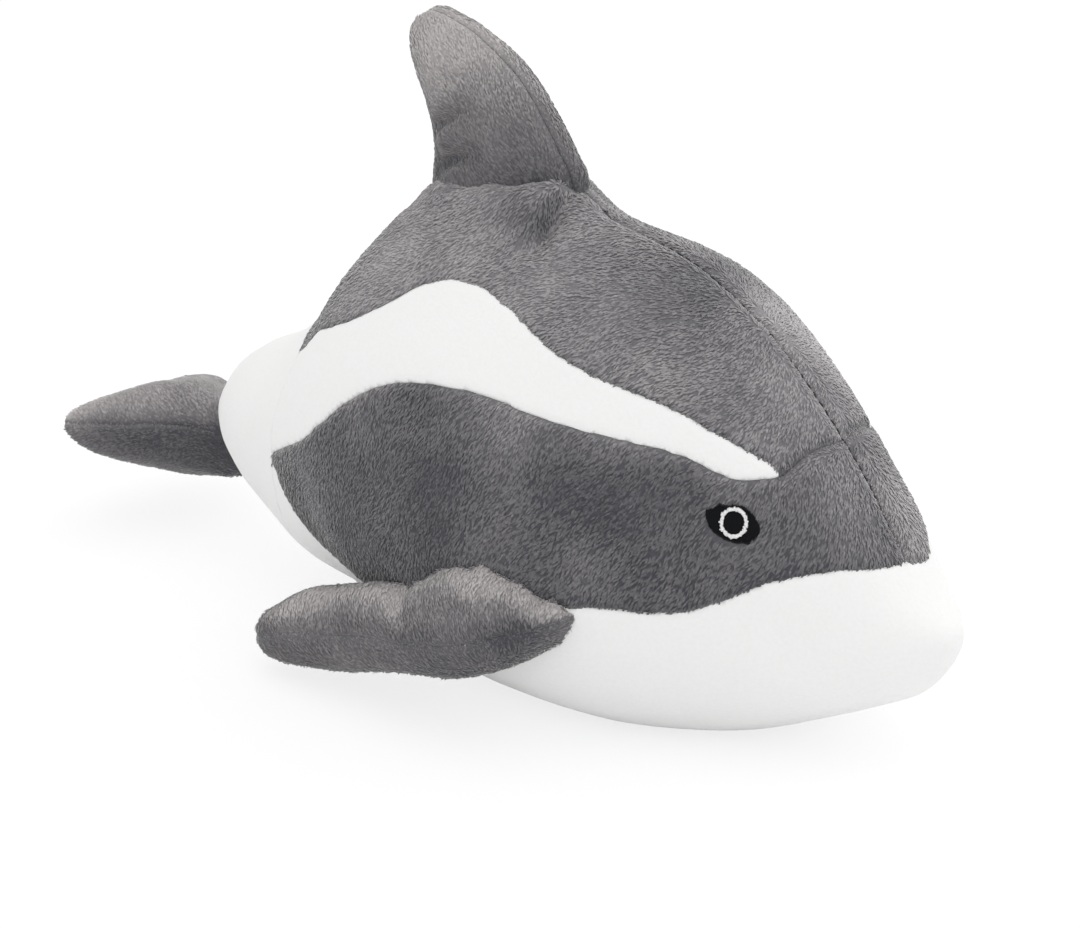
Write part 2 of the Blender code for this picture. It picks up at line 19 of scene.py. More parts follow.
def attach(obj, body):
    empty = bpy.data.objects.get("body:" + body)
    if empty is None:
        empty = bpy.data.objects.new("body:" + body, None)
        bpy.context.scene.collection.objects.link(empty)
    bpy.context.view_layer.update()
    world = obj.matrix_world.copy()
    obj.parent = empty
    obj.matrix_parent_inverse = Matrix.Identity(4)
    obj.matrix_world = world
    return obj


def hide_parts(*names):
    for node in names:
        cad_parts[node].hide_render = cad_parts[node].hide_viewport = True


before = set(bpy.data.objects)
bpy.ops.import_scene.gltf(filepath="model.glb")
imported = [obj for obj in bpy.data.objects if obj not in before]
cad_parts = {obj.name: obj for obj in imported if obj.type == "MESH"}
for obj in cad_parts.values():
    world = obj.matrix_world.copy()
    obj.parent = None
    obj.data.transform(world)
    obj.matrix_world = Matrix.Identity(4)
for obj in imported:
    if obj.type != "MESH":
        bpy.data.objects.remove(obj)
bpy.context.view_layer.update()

Vec3 = Tuple[float, float, float]
log = logging.getLogger("plush_dolphin")

BODY = "root"
MM = 0.001

# Least heights above the floor, so that nothing soft dips through it
CLOTH_CLEARANCE = 0.3 * MM
SEAM_CLEARANCE = 0.2 * MM
PILE_CLEARANCE = 0.1 * MM

WELD_DISTANCE = 1e-5
FAR_AWAY = (0.0, 0.0, 9.0)


class Slot(Enum):
    """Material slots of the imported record."""

    GRAY = "gray_plush"
    FIN = "fin_plush"
    WHITE = "white_plush"
    FILLING = "filling"
    BLACK_THREAD = "black_thread"
    WHITE_THREAD = "white_thread"


class SeamKind(Enum):
    """Depth and width of the groove a seam draws, in metres."""

    CLOSING = (1.1 * MM, 1.7 * MM)
    DART = (1.4 * MM, 2.0 * MM)
    FIN = (0.75 * MM, 1.0 * MM)
    PANEL = (0.6 * MM, 1.0 * MM)
    FLAT = (0.25 * MM, 0.8 * MM)
    HIDDEN = (0.02 * MM, 0.8 * MM)


class PaintedLightBy(Enum):
    """What the painted light and painted shade on a panel's pile follow: the cloth's slope or its height."""

    SLOPE = 0
    HEIGHT = 1


# Node tools


class Nodes:
    """Short calls for building one material's node tree."""

    def __init__(self, name: str) -> None:
        """Start a material with only its Principled shader and output.

        Args:
            name: Name of the material.
        """
        self.material = bpy.data.materials.new(name)
        self.material.use_nodes = True
        self.tree = self.material.node_tree
        self.shader = self.tree.nodes["Principled BSDF"]

    def add(self, kind: str, **settings: object) -> bpy.types.Node:
        """Add a node and set its properties or inputs by name.

        Args:
            kind: Node type, such as ShaderNodeTexNoise.
            **settings: Property values, or input values with spaces written as underscores.

        Returns:
            The new node.
        """
        node = self.tree.nodes.new(kind)
        for key, value in settings.items():
            label = key.replace("_", " ")
            if label in node.inputs:
                node.inputs[label].default_value = value
            else:
                setattr(node, key, value)
        return node

    def link(self, source: bpy.types.NodeSocket, target: bpy.types.NodeSocket) -> None:
        """Join two sockets."""
        self.tree.links.new(source, target)

    def object_place(self, stretch: Vec3 = (1, 1, 1), turn: Vec3 = (0, 0, 0)) -> bpy.types.NodeSocket:
        """Object coordinates, turned and stretched.

        Args:
            stretch: Scale along each axis after the turn.
            turn: Rotation in radians.

        Returns:
            The vector socket.
        """
        place = self.add("ShaderNodeTexCoord")
        mapping = self.add("ShaderNodeMapping", vector_type="TEXTURE")
        mapping.inputs["Rotation"].default_value = turn
        mapping.inputs["Scale"].default_value = tuple(1.0 / s for s in stretch)
        self.link(place.outputs["Object"], mapping.inputs["Vector"])
        return mapping.outputs["Vector"]

    def noise(self, place: bpy.types.NodeSocket, scale: float, detail: float = 2.0) -> bpy.types.NodeSocket:
        """Noise at a scale.

        Args:
            place: Vector socket.
            scale: Cycles per metre.
            detail: Octaves.

        Returns:
            The noise factor.
        """
        noise = self.add("ShaderNodeTexNoise", Scale=scale, Detail=detail)
        self.link(place, noise.inputs["Vector"])
        return noise.outputs["Fac"]

    def ramp(self, factor: bpy.types.NodeSocket, stops: Sequence[Tuple[float, Vec3]]) -> bpy.types.NodeSocket:
        """Colour ramp.

        Args:
            factor: Value that drives the ramp.
            stops: Place and colour of each stop.

        Returns:
            The colour socket.
        """
        ramp = self.add("ShaderNodeValToRGB")
        elements = ramp.color_ramp.elements
        while len(elements) < len(stops):
            elements.new(0.5)
        for element, (place, color) in zip(elements, stops):
            element.position = place
            element.color = (*color, 1.0)
        self.link(factor, ramp.inputs["Fac"])
        return ramp.outputs["Color"]

    def mix(self, factor: object, first: object, second: object, blend: str = "MIX") -> bpy.types.NodeSocket:
        """Mix two colours.

        Args:
            factor: Number or socket.
            first: Colour or socket.
            second: Colour or socket.
            blend: Blend mode.

        Returns:
            The colour socket.
        """
        node = self.add("ShaderNodeMix", data_type="RGBA", blend_type=blend)
        sockets = (node.inputs[0], node.inputs[6], node.inputs[7])
        for socket, value in zip(sockets, (factor, first, second)):
            if isinstance(value, bpy.types.NodeSocket):
                self.link(value, socket)
            elif isinstance(value, tuple):
                socket.default_value = (*value, 1.0)
            else:
                socket.default_value = value
        return node.outputs[2]


def scaled(color: Vec3, by: float) -> Vec3:
    """A colour made lighter or darker."""
    return (color[0] * by, color[1] * by, color[2] * by)


# Finishes


@dataclass(frozen=True)
class PlushFinish:
    """Short pile cloth with a brushed nap."""

    name: str
    color: Vec3
    dark: Vec3
    light: Vec3
    sheen: float
    sheen_roughness: float
    patch_contrast: float = 0.5
    bump: float = 0.5
    streak_turn: float = 0.9
    # How much darker the cloth under the tufts is: painted shade between the tufts.
    gap_shade: float = 0.24
    mottle: float = 0.16
    patch_scale: float = 42.0
    mottle_scale: float = 900.0
    streak_scale: float = 1150.0
    streak_length: float = 0.28
    roughness: float = 0.95
    shine: float = 0.12

    def shade_colour(self, nodes: Nodes, lift: float) -> bpy.types.NodeSocket:
        """Colour from the stored tone, which holds painted light and painted shade, with brushed patches and fine
        mottling.

        Args:
            nodes: Material being built.
            lift: Added to the tone, darker when negative.

        Returns:
            The colour socket.
        """
        place = nodes.object_place()
        tone = nodes.add("ShaderNodeAttribute", attribute_type="GEOMETRY", attribute_name="tone")
        patches = nodes.noise(place, self.patch_scale, 2.0)
        moved = nodes.add("ShaderNodeMath", operation="MULTIPLY_ADD")
        nodes.link(patches, moved.inputs[0])
        moved.inputs[1].default_value = self.patch_contrast
        moved.inputs[2].default_value = lift - 0.5 * self.patch_contrast
        total = nodes.add("ShaderNodeMath", operation="ADD")
        nodes.link(moved.outputs[0], total.inputs[0])
        nodes.link(tone.outputs["Fac"], total.inputs[1])
        colour = nodes.ramp(total.outputs[0], ((0.0, self.dark), (0.5, self.color), (1.0, self.light)))
        fine = nodes.noise(place, self.mottle_scale, 1.0)
        speck = nodes.ramp(fine, (
            (0.30, scaled((1.0, 1.0, 1.0), 1 - self.mottle)),
            (0.55, (1.0, 1.0, 1.0)),
            (0.75, scaled((1.0, 1.0, 1.0), 1 + 0.6 * self.mottle)),
        ))
        return nodes.mix(1.0, colour, speck, "MULTIPLY")

    def dress(self, nodes: Nodes) -> None:
        """Set the shader's plain values.

        Args:
            nodes: Material being built.
        """
        nodes.shader.inputs["Roughness"].default_value = self.roughness
        nodes.shader.inputs["Specular IOR Level"].default_value = self.shine
        nodes.shader.inputs["Sheen Weight"].default_value = self.sheen
        nodes.shader.inputs["Sheen Roughness"].default_value = self.sheen_roughness
        nodes.shader.inputs["Sheen Tint"].default_value = (1.0, 0.985, 0.98, 1.0)

    def ground(self) -> bpy.types.Material:
        """Material of the cloth under the pile, streaked along the nap and painted darker than the tufts as shade
        between them.

        Returns:
            The material.
        """
        nodes = Nodes(self.name + "_ground")
        nodes.link(self.shade_colour(nodes, -self.gap_shade), nodes.shader.inputs["Base Color"])
        self.dress(nodes)
        streaks = nodes.object_place((self.streak_length, 1.0, 1.0), (0.0, self.streak_turn, 0.0))
        height = nodes.noise(streaks, self.streak_scale, 2.0)
        bump = nodes.add("ShaderNodeBump", Strength=self.bump, Distance=0.0008)
        nodes.link(height, bump.inputs["Height"])
        nodes.link(bump.outputs["Normal"], nodes.shader.inputs["Normal"])
        return nodes.material

    def pile(self) -> bpy.types.Material:
        """Material of the tufts.

        Returns:
            The material.
        """
        nodes = Nodes(self.name + "_pile")
        nodes.link(self.shade_colour(nodes, 0.0), nodes.shader.inputs["Base Color"])
        self.dress(nodes)
        return nodes.material


@dataclass(frozen=True)
class ThreadFinish:
    """Shiny embroidery or sewing thread."""

    name: str
    color: Vec3
    roughness: float = 0.45
    shine: float = 0.4
    twist_scale: float = 2600.0

    def material(self) -> bpy.types.Material:
        """Thread with a fine twist.

        Returns:
            The material.
        """
        nodes = Nodes(self.name)
        place = nodes.object_place()
        fibres = nodes.noise(place, self.twist_scale, 2.0)
        tone = nodes.ramp(fibres, ((0.3, scaled(self.color, 0.72)), (0.7, scaled(self.color, 1.12))))
        nodes.link(tone, nodes.shader.inputs["Base Color"])
        nodes.shader.inputs["Roughness"].default_value = self.roughness
        nodes.shader.inputs["Specular IOR Level"].default_value = self.shine
        bump = nodes.add("ShaderNodeBump", Strength=0.3, Distance=0.0001)
        nodes.link(fibres, bump.inputs["Height"])
        nodes.link(bump.outputs["Normal"], nodes.shader.inputs["Normal"])
        return nodes.material


@dataclass(frozen=True)
class FibreFinish:
    """Loose white fibre filling."""

    name: str
    color: Vec3
    tangle_scale: float = 420.0

    def material(self) -> bpy.types.Material:
        """Soft tangled fibres.

        Returns:
            The material.
        """
        nodes = Nodes(self.name)
        place = nodes.object_place()
        tangle = nodes.noise(place, self.tangle_scale, 5.0)
        tone = nodes.ramp(tangle, ((0.3, scaled(self.color, 0.85)), (0.7, self.color)))
        nodes.link(tone, nodes.shader.inputs["Base Color"])
        nodes.shader.inputs["Roughness"].default_value = 1.0
        nodes.shader.inputs["Sheen Weight"].default_value = 0.2
        bump = nodes.add("ShaderNodeBump", Strength=0.7, Distance=0.001)
        nodes.link(tangle, bump.inputs["Height"])
        nodes.link(bump.outputs["Normal"], nodes.shader.inputs["Normal"])
        return nodes.material


# Each plush's dark and light ramp ends carry the painted shade and painted light that the stored tone puts on the
# pile.
GRAY_FINISH = PlushFinish(
    "gray_plush", (0.225, 0.218, 0.227), (0.082, 0.081, 0.091), (0.470, 0.450, 0.454), 1.0, 0.33, 0.62)
# Fin plush: the gray cloth made a little lighter, in part as painted light for pile brushed up toward the light
# above.
FIN_FINISH = PlushFinish(
    "fin_plush", (0.235, 0.225, 0.230), (0.082, 0.081, 0.091), (0.520, 0.490, 0.487), 1.0, 0.33, 0.60,
    streak_turn=-0.9, gap_shade=0.17)
WHITE_FINISH = PlushFinish(
    "white_plush", (0.892, 0.896, 0.886), (0.884, 0.888, 0.878), (0.900, 0.903, 0.895), 0.10, 0.5, 0.3, 0.12,
    gap_shade=0.0, mottle=0.015)
BLACK_THREAD = ThreadFinish("black_thread_satin", (0.0035, 0.004, 0.005), 0.75, 0.16)
WHITE_THREAD = ThreadFinish("white_thread_satin", (0.88, 0.88, 0.88), 0.5)
SEAM_THREAD = ThreadFinish("seam_thread_gray", (0.050, 0.047, 0.050), 0.8)
FIBRE = FibreFinish("filling_fibre", (0.88, 0.87, 0.84))


# Mesh tools


def select_only(piece: bpy.types.Object) -> None:
    """Make one object the selected and active one.

    Args:
        piece: The object.
    """
    for other in bpy.context.selected_objects:
        other.select_set(False)
    piece.select_set(True)
    bpy.context.view_layer.objects.active = piece


def object_of(name: str, points: np.ndarray, faces: Sequence[Sequence[int]]) -> bpy.types.Object:
    """New smooth object from points and faces.

    Args:
        name: Name of the object and its mesh.
        points: Vertex places.
        faces: Vertex numbers of each face.

    Returns:
        The object.
    """
    mesh = bpy.data.meshes.new(name)
    mesh.from_pydata([tuple(p) for p in points], [], [tuple(f) for f in faces])
    mesh.update()
    piece = bpy.data.objects.new(name, mesh)
    bpy.context.scene.collection.objects.link(piece)
    smooth(piece)
    return piece


def smooth(piece: bpy.types.Object) -> None:
    """Shade every face smooth."""
    piece.data.polygons.foreach_set("use_smooth", [True] * len(piece.data.polygons))


def apply_modifier(piece: bpy.types.Object, kind: str, **settings: object) -> None:
    """Add a modifier, set it and apply it.

    Args:
        piece: Object to change.
        kind: Modifier type.
        **settings: Its properties.
    """
    modifier = piece.modifiers.new(kind.lower(), kind)
    for key, value in settings.items():
        setattr(modifier, key, value)
    select_only(piece)
    bpy.ops.object.modifier_apply(modifier=modifier.name)


def points_of(mesh: bpy.types.Mesh) -> np.ndarray:
    """Vertex places of a mesh as an array.

    Args:
        mesh: The mesh.

    Returns:
        One row per vertex.
    """
    flat = np.empty(len(mesh.vertices) * 3)
    mesh.vertices.foreach_get("co", flat)
    return flat.reshape(-1, 3)


def normals_of(mesh: bpy.types.Mesh) -> np.ndarray:
    """Vertex normals of a mesh as an array.

    Args:
        mesh: The mesh.

    Returns:
        One row per vertex.
    """
    flat = np.empty(len(mesh.vertices) * 3, np.float32)
    mesh.vertex_normals.foreach_get("vector", flat)
    return flat.reshape(-1, 3).astype(float)


def set_points(mesh: bpy.types.Mesh, points: np.ndarray) -> None:
    """Write vertex places back."""
    mesh.vertices.foreach_set("co", np.ascontiguousarray(points, float).ravel())
    mesh.update()


def largest_part(piece: bpy.types.Object) -> None:
    """Keep only the biggest connected part of a mesh.

    Args:
        piece: Object to change.
    """
    build = bmesh.new()
    build.from_mesh(piece.data)
    build.verts.ensure_lookup_table()
    seen = np.zeros(len(build.verts), bool)
    best: List[bmesh.types.BMVert] = []
    for start in build.verts:
        if seen[start.index]:
            continue
        part = [start]
        seen[start.index] = True
        for vert in part:
            for edge in vert.link_edges:
                other = edge.other_vert(vert)
                if not seen[other.index]:
                    seen[other.index] = True
                    part.append(other)
        if len(part) > len(best):
            best = part
    keep = set(best)
    bmesh.ops.delete(build, geom=[v for v in build.verts if v not in keep], context="VERTS")
    build.to_mesh(piece.data)
    build.free()


def weld(piece: bpy.types.Object) -> None:
    """Join the doubled points of a mesh.

    Args:
        piece: Object to change.
    """
    build = bmesh.new()
    build.from_mesh(piece.data)
    bmesh.ops.remove_doubles(build, verts=build.verts, dist=WELD_DISTANCE)
    build.to_mesh(piece.data)
    build.free()


def search_tree(meshes: Sequence[bpy.types.Mesh]) -> BVHTree:
    """Search tree over the surfaces of some meshes.

    Args:
        meshes: The meshes.

    Returns:
        The tree.
    """
    points: List[Vector] = []
    faces: List[List[int]] = []
    for mesh in meshes:
        shift = len(points)
        points += [v.co.copy() for v in mesh.vertices]
        faces += [[shift + k for k in p.vertices] for p in mesh.polygons]
    return BVHTree.FromPolygons(points, faces)


def tree_of(nodes: Sequence[str]) -> BVHTree:
    """Search tree over the surfaces of some CAD nodes."""
    return search_tree([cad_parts[node].data for node in nodes])


def distances(tree: BVHTree, points: np.ndarray) -> np.ndarray:
    """Distance from each point to the nearest surface of a tree."""
    return np.array([tree.find_nearest(Vector(p))[3] for p in points])


def unit(rows: np.ndarray) -> np.ndarray:
    """Rows scaled to length 1."""
    return rows / np.maximum(np.linalg.norm(rows, axis=-1, keepdims=True), 1e-12)


def sway(points: np.ndarray, wave: float, seed: int) -> np.ndarray:
    """Slow seeded variation between about -1 and 1.

    Args:
        points: Places where it is read.
        wave: Wavelength in metres.
        seed: Seed of the pattern.

    Returns:
        One value per point.
    """
    draw = np.random.default_rng(seed)
    total = np.zeros(len(points))
    for _ in range(5):
        way = unit(draw.normal(size=(1, 3)))[0] * 2 * math.pi / (wave * draw.uniform(0.7, 1.5))
        total += np.sin(points @ way + draw.uniform(0, 2 * math.pi))
    return total / 2.6


# Skin


class Shaping:
    """One soft change of a form's surface."""

    def press(self, points: np.ndarray, normals: np.ndarray) -> np.ndarray:
        """Move points; every shaping overrides this.

        Args:
            points: Vertex places.
            normals: Vertex normals; not used.

        Returns:
            The moved points.
        """
        return points


@dataclass(frozen=True)
class Fold(Shaping):
    """A soft valley, or a ridge when its depth is negative, pressed along a line."""

    start: Vec3
    end: Vec3
    width: float
    depth: float
    mirrored: bool = True

    def press(self, points: np.ndarray, normals: np.ndarray) -> np.ndarray:
        """Move points along their normals near the line.

        Args:
            points: Vertex places.
            normals: Vertex normals.

        Returns:
            The moved points.
        """
        for side in (1.0, -1.0) if self.mirrored else (1.0,):
            flip = np.array((1.0, side, 1.0))
            start = np.array(self.start) * flip
            line = np.array(self.end) * flip - start
            along = np.clip((points - start) @ line / (line @ line), 0.0, 1.0)
            away = np.linalg.norm(points - start - along[:, None] * line, axis=1)
            fade = np.exp(-(away / self.width) ** 2) * (0.35 + 0.65 * np.sin(math.pi * (0.08 + 0.84 * along)))
            points = points - normals * (self.depth * fade)[:, None]
        return points


@dataclass(frozen=True)
class Push(Shaping):
    """A soft bulge: all that lies near a place moves the same way."""

    centre: Vec3
    reach: float
    move: Vec3
    mirrored: bool = False

    def press(self, points: np.ndarray, normals: np.ndarray) -> np.ndarray:
        """Move points near the centre.

        Args:
            points: Vertex places.
            normals: Vertex normals; not used.

        Returns:
            The moved points.
        """
        for side in (1.0, -1.0) if self.mirrored else (1.0,):
            flip = np.array((1.0, side, 1.0))
            away = np.linalg.norm(points - np.array(self.centre) * flip, axis=1)
            points = points + np.array(self.move) * flip * np.exp(-(away / self.reach) ** 2)[:, None]
        return points


@dataclass(frozen=True)
class Collar(Shaping):
    """Cloth that rises round the root of a fin."""

    nodes: Tuple[str, ...]
    gap: float
    width: float
    height: float

    def press(self, points: np.ndarray, normals: np.ndarray) -> np.ndarray:
        """Raise points at a set distance from the fin."""
        away = distances(tree_of(self.nodes), points)
        return points + normals * (self.height * np.exp(-((away - self.gap) / self.width) ** 2))[:, None]


@dataclass(frozen=True)
class Root(Shaping):
    """The end of a fin that is drawn into the body."""

    skin: BVHTree
    move: Vec3
    reach: float

    def press(self, points: np.ndarray, normals: np.ndarray) -> np.ndarray:
        """Move points that touch the body or lie inside it.

        Args:
            points: Vertex places.
            normals: Vertex normals; not used.

        Returns:
            The moved points.
        """
        share = np.zeros(len(points))
        for k, point in enumerate(points):
            place, normal, _, away = self.skin.find_nearest(Vector(point))
            inside = (Vector(point) - place).dot(normal) < 0
            share[k] = 1.0 if inside else max(0.0, 1.0 - away / self.reach)
        return points + np.array(self.move) * share[:, None]


@dataclass(frozen=True)
class Claim:
    """One panel's cloth laps its neighbour's, so their seam sits further over."""

    winner: str
    loser: str
    reach: float
    facing: Vec3 = (0.0, 0.0, 0.0)
    centre: Vec3 = (0.0, 0.0, 0.0)
    radius: float = 0.0

    def reach_at(self, points: np.ndarray, normals: np.ndarray) -> np.ndarray:
        """How far the seam moves at each vertex.

        Args:
            points: Vertex places.
            normals: Vertex normals.

        Returns:
            One distance per vertex.
        """
        reach = np.full(len(normals), self.reach)
        if any(self.facing):
            reach *= np.clip(normals @ unit(np.array(self.facing)) * 2.5, 0.0, 1.0)
        if self.radius:
            away = np.linalg.norm(points - np.array(self.centre), axis=1)
            reach *= np.exp(-(away / self.radius) ** 2)
        return reach


@dataclass(frozen=True)
class PaintedLightRule:
    """How light a panel's pile is painted from its slope or height: painted light where it faces up or stands high,
    painted shade where it faces down or sits low.
    """

    by: PaintedLightBy
    base: float
    gain: float
    start: float
    end: float
    shade: float = 0.0
    shade_start: float = -0.150
    shade_end: float = -0.118

    def at(self, points: np.ndarray, normals: np.ndarray) -> np.ndarray:
        """Tone at points of the cloth, with painted shade that deepens toward the front of the shaded stretch, by
        the body.

        Args:
            points: Places on the cloth.
            normals: Normals there.

        Returns:
            One tone per point.
        """
        value = normals[:, 2] if self.by is PaintedLightBy.SLOPE else points[:, 2]
        share = np.clip((value - self.start) / (self.end - self.start), 0.0, 1.0)
        front = np.clip((points[:, 0] - self.shade_start) / (self.shade_end - self.shade_start), 0.0, 1.0)
        return self.base + self.gain * share * share * (3 - 2 * share) - self.shade * front


@dataclass(frozen=True)
class BrushedAndLitSpot:
    """A spot where the pile is painted lighter or darker, on both sides or the left: partly pile a hand has turned,
    partly painted light and painted shade.
    """

    centre: Vec3
    radius: float
    change: float
    left_only: bool = False

    def at(self, points: np.ndarray) -> np.ndarray:
        """Change of tone at points.

        Args:
            points: Places on the cloth.

        Returns:
            One change per point.
        """
        centre = np.array(self.centre)
        right = np.stack((points[:, 0], -np.abs(points[:, 1]), points[:, 2]), 1)
        away = np.linalg.norm(right - centre, axis=1)
        share = np.exp(-(away / self.radius) ** 2)
        return self.change * (share * (points[:, 1] > 0.0) if self.left_only else share)


@dataclass(frozen=True)
class Panel:
    """One sewn panel: the CAD node it stands for, its cloth and the way its pile lies."""

    node: str
    slot: Slot
    nap: Vec3
    tone: PaintedLightRule
    front_nap: Vec3 = (0.0, 0.0, 0.0)

    def tone_at(self, points: np.ndarray, normals: np.ndarray) -> np.ndarray:
        """Painted tone at points of the panel: its painted light and shade, with the brushed and lit spots included.
        """
        return self.tone.at(points, normals) + sum(spot.at(points) for spot in BRUSHED_AND_LIT_SPOTS)

    def nap_at(self, points: np.ndarray) -> np.ndarray:
        """Direction of the pile at points, turning toward the front nap over the head.

        Args:
            points: Places on the panel.

        Returns:
            One direction per point.
        """
        lay = np.tile(np.array(self.nap, float), (len(points), 1))
        if any(self.front_nap):
            share = np.clip((points[:, :1] - 0.03) / 0.06, 0.0, 1.0)
            lay = lay * (1 - share) + np.array(self.front_nap) * share
        if self.node.endswith("_left") or "_left_" in self.node:
            lay = lay * np.array((1.0, -1.0, 1.0))
        return lay


RIM_SEAMS = (SeamKind.CLOSING.value, SeamKind.DART.value, SeamKind.FIN.value, SeamKind.FLAT.value)
OPEN_SEAMS = (SeamKind.CLOSING.value, SeamKind.DART.value, SeamKind.FIN.value)
SeamMarks = Dict[bmesh.types.BMVert, Tuple[float, float]]


def split_faces(build: bmesh.types.BMesh, marks: SeamMarks) -> None:
    """Cut each face from one seam vertex to the next.

    Args:
        build: The surface, changed in place.
        marks: Its seam vertices.
    """
    for face in list(build.faces):
        found = [v for v in face.verts if v in marks]
        halves = [face]
        for a, b in zip(found, found[1:]):
            for half in list(halves):
                if a in half.verts and b in half.verts and not build.edges.get((a, b)):
                    made = bmesh.utils.face_split(half, a, b)
                    if made and made[0]:
                        halves.append(made[0])
                    break


def even_seams(marks: SeamMarks) -> None:
    """Smooth the run of the seams.

    Args:
        marks: The seam vertices, moved in place.
    """
    for _ in range(3):
        moves = {}
        for vert in marks:
            beside = [e.other_vert(vert) for e in vert.link_edges if e.other_vert(vert) in marks]
            if len(beside) >= 2:
                middle = sum((v.co for v in beside), Vector()) / len(beside)
                moves[vert] = vert.co.lerp(middle, 0.5)
        for vert, place in moves.items():
            vert.co = place


def draw_in(build: bmesh.types.BMesh, marks: SeamMarks) -> None:
    """Press a groove along every seam.

    Args:
        build: The surface, changed in place.
        marks: Depth and width of the groove at each seam vertex.
    """
    build.normal_update()
    search = KDTree(len(marks))
    kinds = list(marks.values())
    for k, vert in enumerate(marks):
        search.insert(vert.co, k)
    search.balance()
    new_places = []
    for vert in build.verts:
        _, k, away = search.find(vert.co)
        deep, wide = kinds[k]
        new_places.append(vert.co - vert.normal * deep * math.exp(-(away / wide) ** 2))
    for vert, place in zip(build.verts, new_places):
        vert.co = place
        vert.co.z = max(place.z, SEAM_CLEARANCE)


def seam_tree(marks: SeamMarks, kinds: Sequence[Tuple[float, float]]) -> KDTree:
    """Search tree over the seams of some kinds.

    Args:
        marks: The seam vertices and their kinds.
        kinds: The kinds to keep.

    Returns:
        The tree, with one place far away so that it is never empty.
    """
    kept = [v.co.copy() for v, kind in marks.items() if kind in kinds]
    tree = KDTree(len(kept) + 1)
    tree.insert(FAR_AWAY, 0)
    for k, place in enumerate(kept):
        tree.insert(place, k + 1)
    tree.balance()
    return tree


def nearest(tree: KDTree, points: np.ndarray) -> np.ndarray:
    """Distance from each point to the nearest place of a tree."""
    return np.array([tree.find(Vector(p))[2] for p in points])


CLOTH_SETTINGS = {
    "quality": 5,
    "mass": 0.15,
    "tension_stiffness": 18.0,
    "compression_stiffness": 18.0,
    "shear_stiffness": 8.0,
    "bending_stiffness": 1.2,
    "use_pressure": True,
    "uniform_pressure_force": 4.0,
    "vertex_group_mass": "sewn",
}
CLOTH_FRAMES = 20


